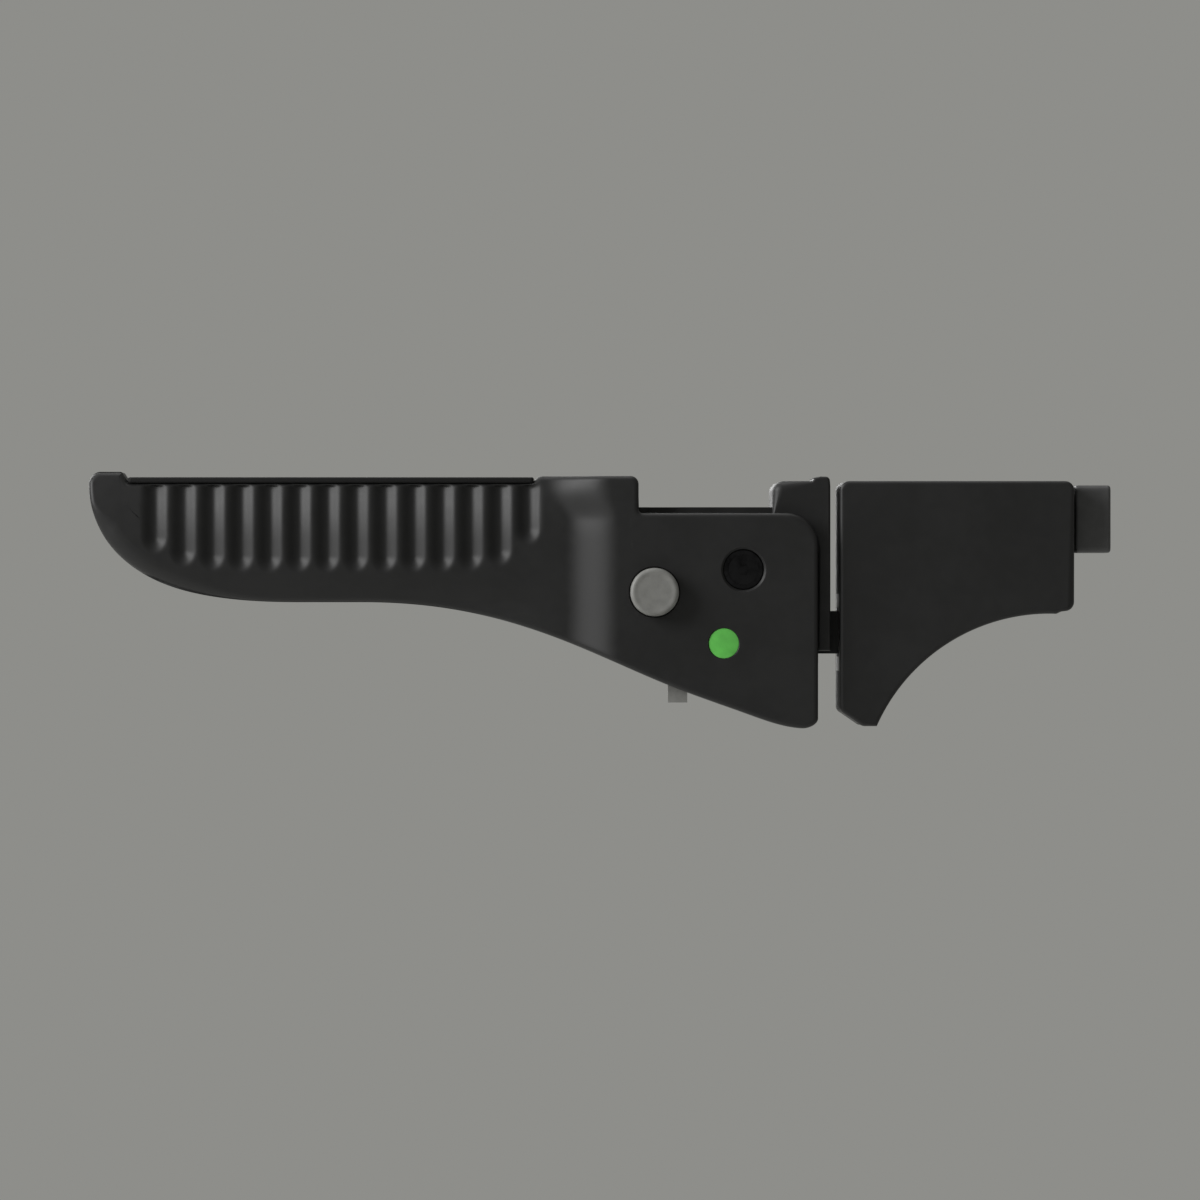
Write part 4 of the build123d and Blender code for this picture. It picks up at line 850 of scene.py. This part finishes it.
class GATELATCH_OT_keeper(PieceOperator, bpy.types.Operator):
    """Builds the keeper's housing: its side outline with rounded edges, hollowed for the post"""
    bl_idname = "gatelatch.keeper"
    bl_label = "Keeper"

    def execute(self, context):
        start, middle, end = np.array([33.2, -38.9]), np.array([50.0, -18.9]), np.array([77.8, -11.0])
        sweep = circle_through(start, middle, end, 40)
        outline = np.concatenate([
            arc((30.2, -36.9), 2.0, 232, 270, 6), sweep, [(79.0, -10.45)],
            arc((80.0, -8.0), 2.3, 282, 360, 7), arc((80.0, 19.7), 2.3, 0, 90, 9),
            arc((26.3, 19.7), 2.3, 90, 180, 9), arc((26.0, -34.0), 2.0, 180, 232, 6)])
        x, z = outline[:, 0], outline[:, 1]
        upright = np.maximum(1 - smoothstep(24.0, 26.0, x), smoothstep(80.5, 82.3, x))
        radius = 0.9 + 0.9 * upright * (1 - smoothstep(17.0, 19.6, z)) * smoothstep(-34.0, -29.0, z)
        made = shell("keeper_housing", [slab(outline, -15.5, 15.5, radius, steps=7)])
        pocket = rounded(box_outline(29.0, 77.3, -12.65, 12.65), 1.0)
        cuts = [slab(pocket, -60, 18.5, 0.6, "Z"),
                slab(box_outline(-8.1, 8.1, -23.0, -8.2), 23.0, 30.0, 0.01, "X"),
                slab(box_outline(-10.3, 10.3, -25.2, -6.0), 23.0, 25.2, 0.01, "X"),
                slab(box_outline(-6.5, 6.5, 6.1, 19.1), 76.0, 84.0, 0.01, "X"),
                turned([(0, 11), (2.25, 11), (2.25, 15.2), (2.6, 15.55), (2.6, 17), (0, 17)], (53.15, 2.0))]
        carve(made, cuts)
        finish_piece(made, self.material("body_plastic"), "keeper", "body_plastic", "keeper_housing")
        return {"FINISHED"}


def circle_through(start, middle, end, count):
    """Arc from start to end that passes through middle."""
    matrix = 2 * np.array([middle - start, end - start])
    values = np.array([middle @ middle - start @ start, end @ end - start @ start])
    centre = np.linalg.solve(matrix, values)
    radius = np.linalg.norm(start - centre)
    first, last = (math.degrees(math.atan2(*(p - centre)[::-1])) for p in (start, end))
    if last > first:
        first += 360
    return arc(centre, radius, first, last, count)


class GATELATCH_OT_block(PieceOperator, bpy.types.Operator):
    """Builds the spindle block on the keeper's far side"""
    bl_idname = "gatelatch.block"
    bl_label = "Spindle block"

    def execute(self, context):
        outline = rounded(box_outline(-9.0, 9.0, 4.2, 21.0), 1.6)
        neck = rounded(box_outline(-6.45, 6.45, 6.15, 19.05), 0.4)
        made = shell("spindle_block", [slab(outline, 82.9, 91.7, 0.7, "X")])
        carve(made, [slab(neck, 77.4, 83.6, 0.05, "X")], "UNION")
        bore = [(0, 70), (4.24, 70), (4.24, 91.3), (4.7, 91.75), (4.7, 95), (0, 95)]
        carve(made, [turned(bore, (0, 12.6), "X")])
        finish_piece(made, self.material("block_plastic"), "keeper", "block_plastic", "spindle_block")
        return {"FINISHED"}


class GATELATCH_OT_inner_parts(PieceOperator, bpy.types.Operator):
    """Gives the CAD pieces that stay their finishes"""
    bl_idname = "gatelatch.inner_parts"
    bl_label = "Inner parts"

    def execute(self, context):
        for name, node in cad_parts.items():
            if node.hide_render:
                continue
            node.data.materials.clear()
            node.data.materials.append(self.material(NODE_SLOTS[name]))
        return {"FINISHED"}


# Finish of every CAD node that is shown as it is.
NODE_SLOTS = {
    "chassis_front": "chassis_plastic", "chassis_rear": "chassis_plastic", "chassis_screws": "zinc_screw",
    "end_plate": "body_plastic", "end_plate_screws": "zinc_screw", "shaft_bush_front": "acetal",
    "shaft_bush_rear": "acetal", "bolt_spring": "spring_steel", "pivot_shaft": "shaft_steel",
    # The pivot screws and washers take the dark metal that paints the shade of the pivot holes.
    "drive_pinion": "acetal", "shaft_screws": "black_screw", "shaft_washers": "black_screw",
    "catch_arm": "grey_plastic", "catch_screws": "zinc_screw", "bolt": "bolt_plastic",
    "bolt_flags": "flag_plastic", "strike_cup": "cup_steel",
}


class GATELATCH_OT_stage(PieceOperator, bpy.types.Operator):
    """Sets the pale floor, the soft lights and the camera"""
    bl_idname = "gatelatch.stage"
    bl_label = "Stage"

    def execute(self, context):
        finish = context.scene.gate_latch_finish
        scene = context.scene
        scene.view_settings.view_transform = "Standard"
        world = bpy.data.worlds.new("studio")
        scene.world = world
        world.use_nodes = True
        world.node_tree.nodes["Background"].inputs["Color"].default_value = (*finish.backdrop, 1.0)
        bpy.ops.mesh.primitive_plane_add(size=14.0, location=(0, 0, -0.6))
        floor = context.active_object
        floor.name = "floor"
        pale = bpy.data.materials.new("floor_paint")
        pale.use_nodes = True
        paint = pale.node_tree.nodes["Principled BSDF"]
        paint.inputs["Base Color"].default_value = (*finish.floor, 1.0)
        paint.inputs["Roughness"].default_value = 0.9
        floor.data.materials.append(pale)
        low, high = (Vector(corner) for corner in CAD_BOX)
        middle = (low + high) / 2
        for name, place_at, size, power in (
                ("key", (-1.3, -0.62, 0.62), 0.9, 31.0),
                ("fill", (1.4, -1.5, 0.5), 1.4, 0.8),
                ("top", (-0.1, 0.2, 1.5), 0.9, 7.0),
                ("back", (-0.75, 1.4, 0.65), 1.2, 22.0)):
            data = bpy.data.lights.new(name, "AREA")
            data.size = size
            data.energy = power
            light = bpy.data.objects.new(name, data)
            scene.collection.objects.link(light)
            light.location = middle + Vector(place_at)
            light.rotation_euler = (middle - light.location).to_track_quat("-Z", "Y").to_euler()
        data = bpy.data.cameras.new("camera")
        data.lens = 303.0
        data.sensor_width = 36.0
        data.clip_end = 50.0
        camera = bpy.data.objects.new("camera", data)
        scene.collection.objects.link(camera)
        camera.location = middle + Vector((-0.03, -2.52, 0.0))
        camera.rotation_euler = (middle - camera.location).to_track_quat("-Z", "Y").to_euler()
        scene.camera = camera
        return {"FINISHED"}


class GATELATCH_PT_panel(bpy.types.Panel):
    """Lists the latch's pieces and settings"""
    bl_idname = "GATELATCH_PT_panel"
    bl_label = "Gate latch"
    bl_space_type = "VIEW_3D"
    bl_region_type = "UI"
    bl_category = "Gate latch"

    def draw(self, context):
        for operator in OPERATORS:
            self.layout.operator(operator.bl_idname)
        for settings in (context.scene.gate_latch_sizes, context.scene.gate_latch_finish):
            box = self.layout.box()
            for name in settings.__annotations__:
                box.prop(settings, name)


OPERATORS = (GATELATCH_OT_handle, GATELATCH_OT_strip, GATELATCH_OT_button, GATELATCH_OT_lenses,
             GATELATCH_OT_end_plate, GATELATCH_OT_keeper, GATELATCH_OT_block, GATELATCH_OT_inner_parts,
             GATELATCH_OT_stage)
SETTINGS = (GateLatchSizes, GateLatchFinish)


def register():
    """Registers the settings, the operators and the panel."""
    for cls in (*SETTINGS, *OPERATORS, GATELATCH_PT_panel):
        bpy.utils.register_class(cls)
    bpy.types.Scene.gate_latch_sizes = PointerProperty(type=GateLatchSizes)
    bpy.types.Scene.gate_latch_finish = PointerProperty(type=GateLatchFinish)


def unregister():
    """Takes everything that register added away again."""
    del bpy.types.Scene.gate_latch_finish
    del bpy.types.Scene.gate_latch_sizes
    for cls in (GATELATCH_PT_panel, *reversed(OPERATORS), *reversed(SETTINGS)):
        bpy.utils.unregister_class(cls)


def main():
    """Builds every piece in order."""
    register()
    for operator in OPERATORS:
        package, name = operator.bl_idname.split(".")
        getattr(getattr(bpy.ops, package), name)()


if __name__ == "__main__":
    main()
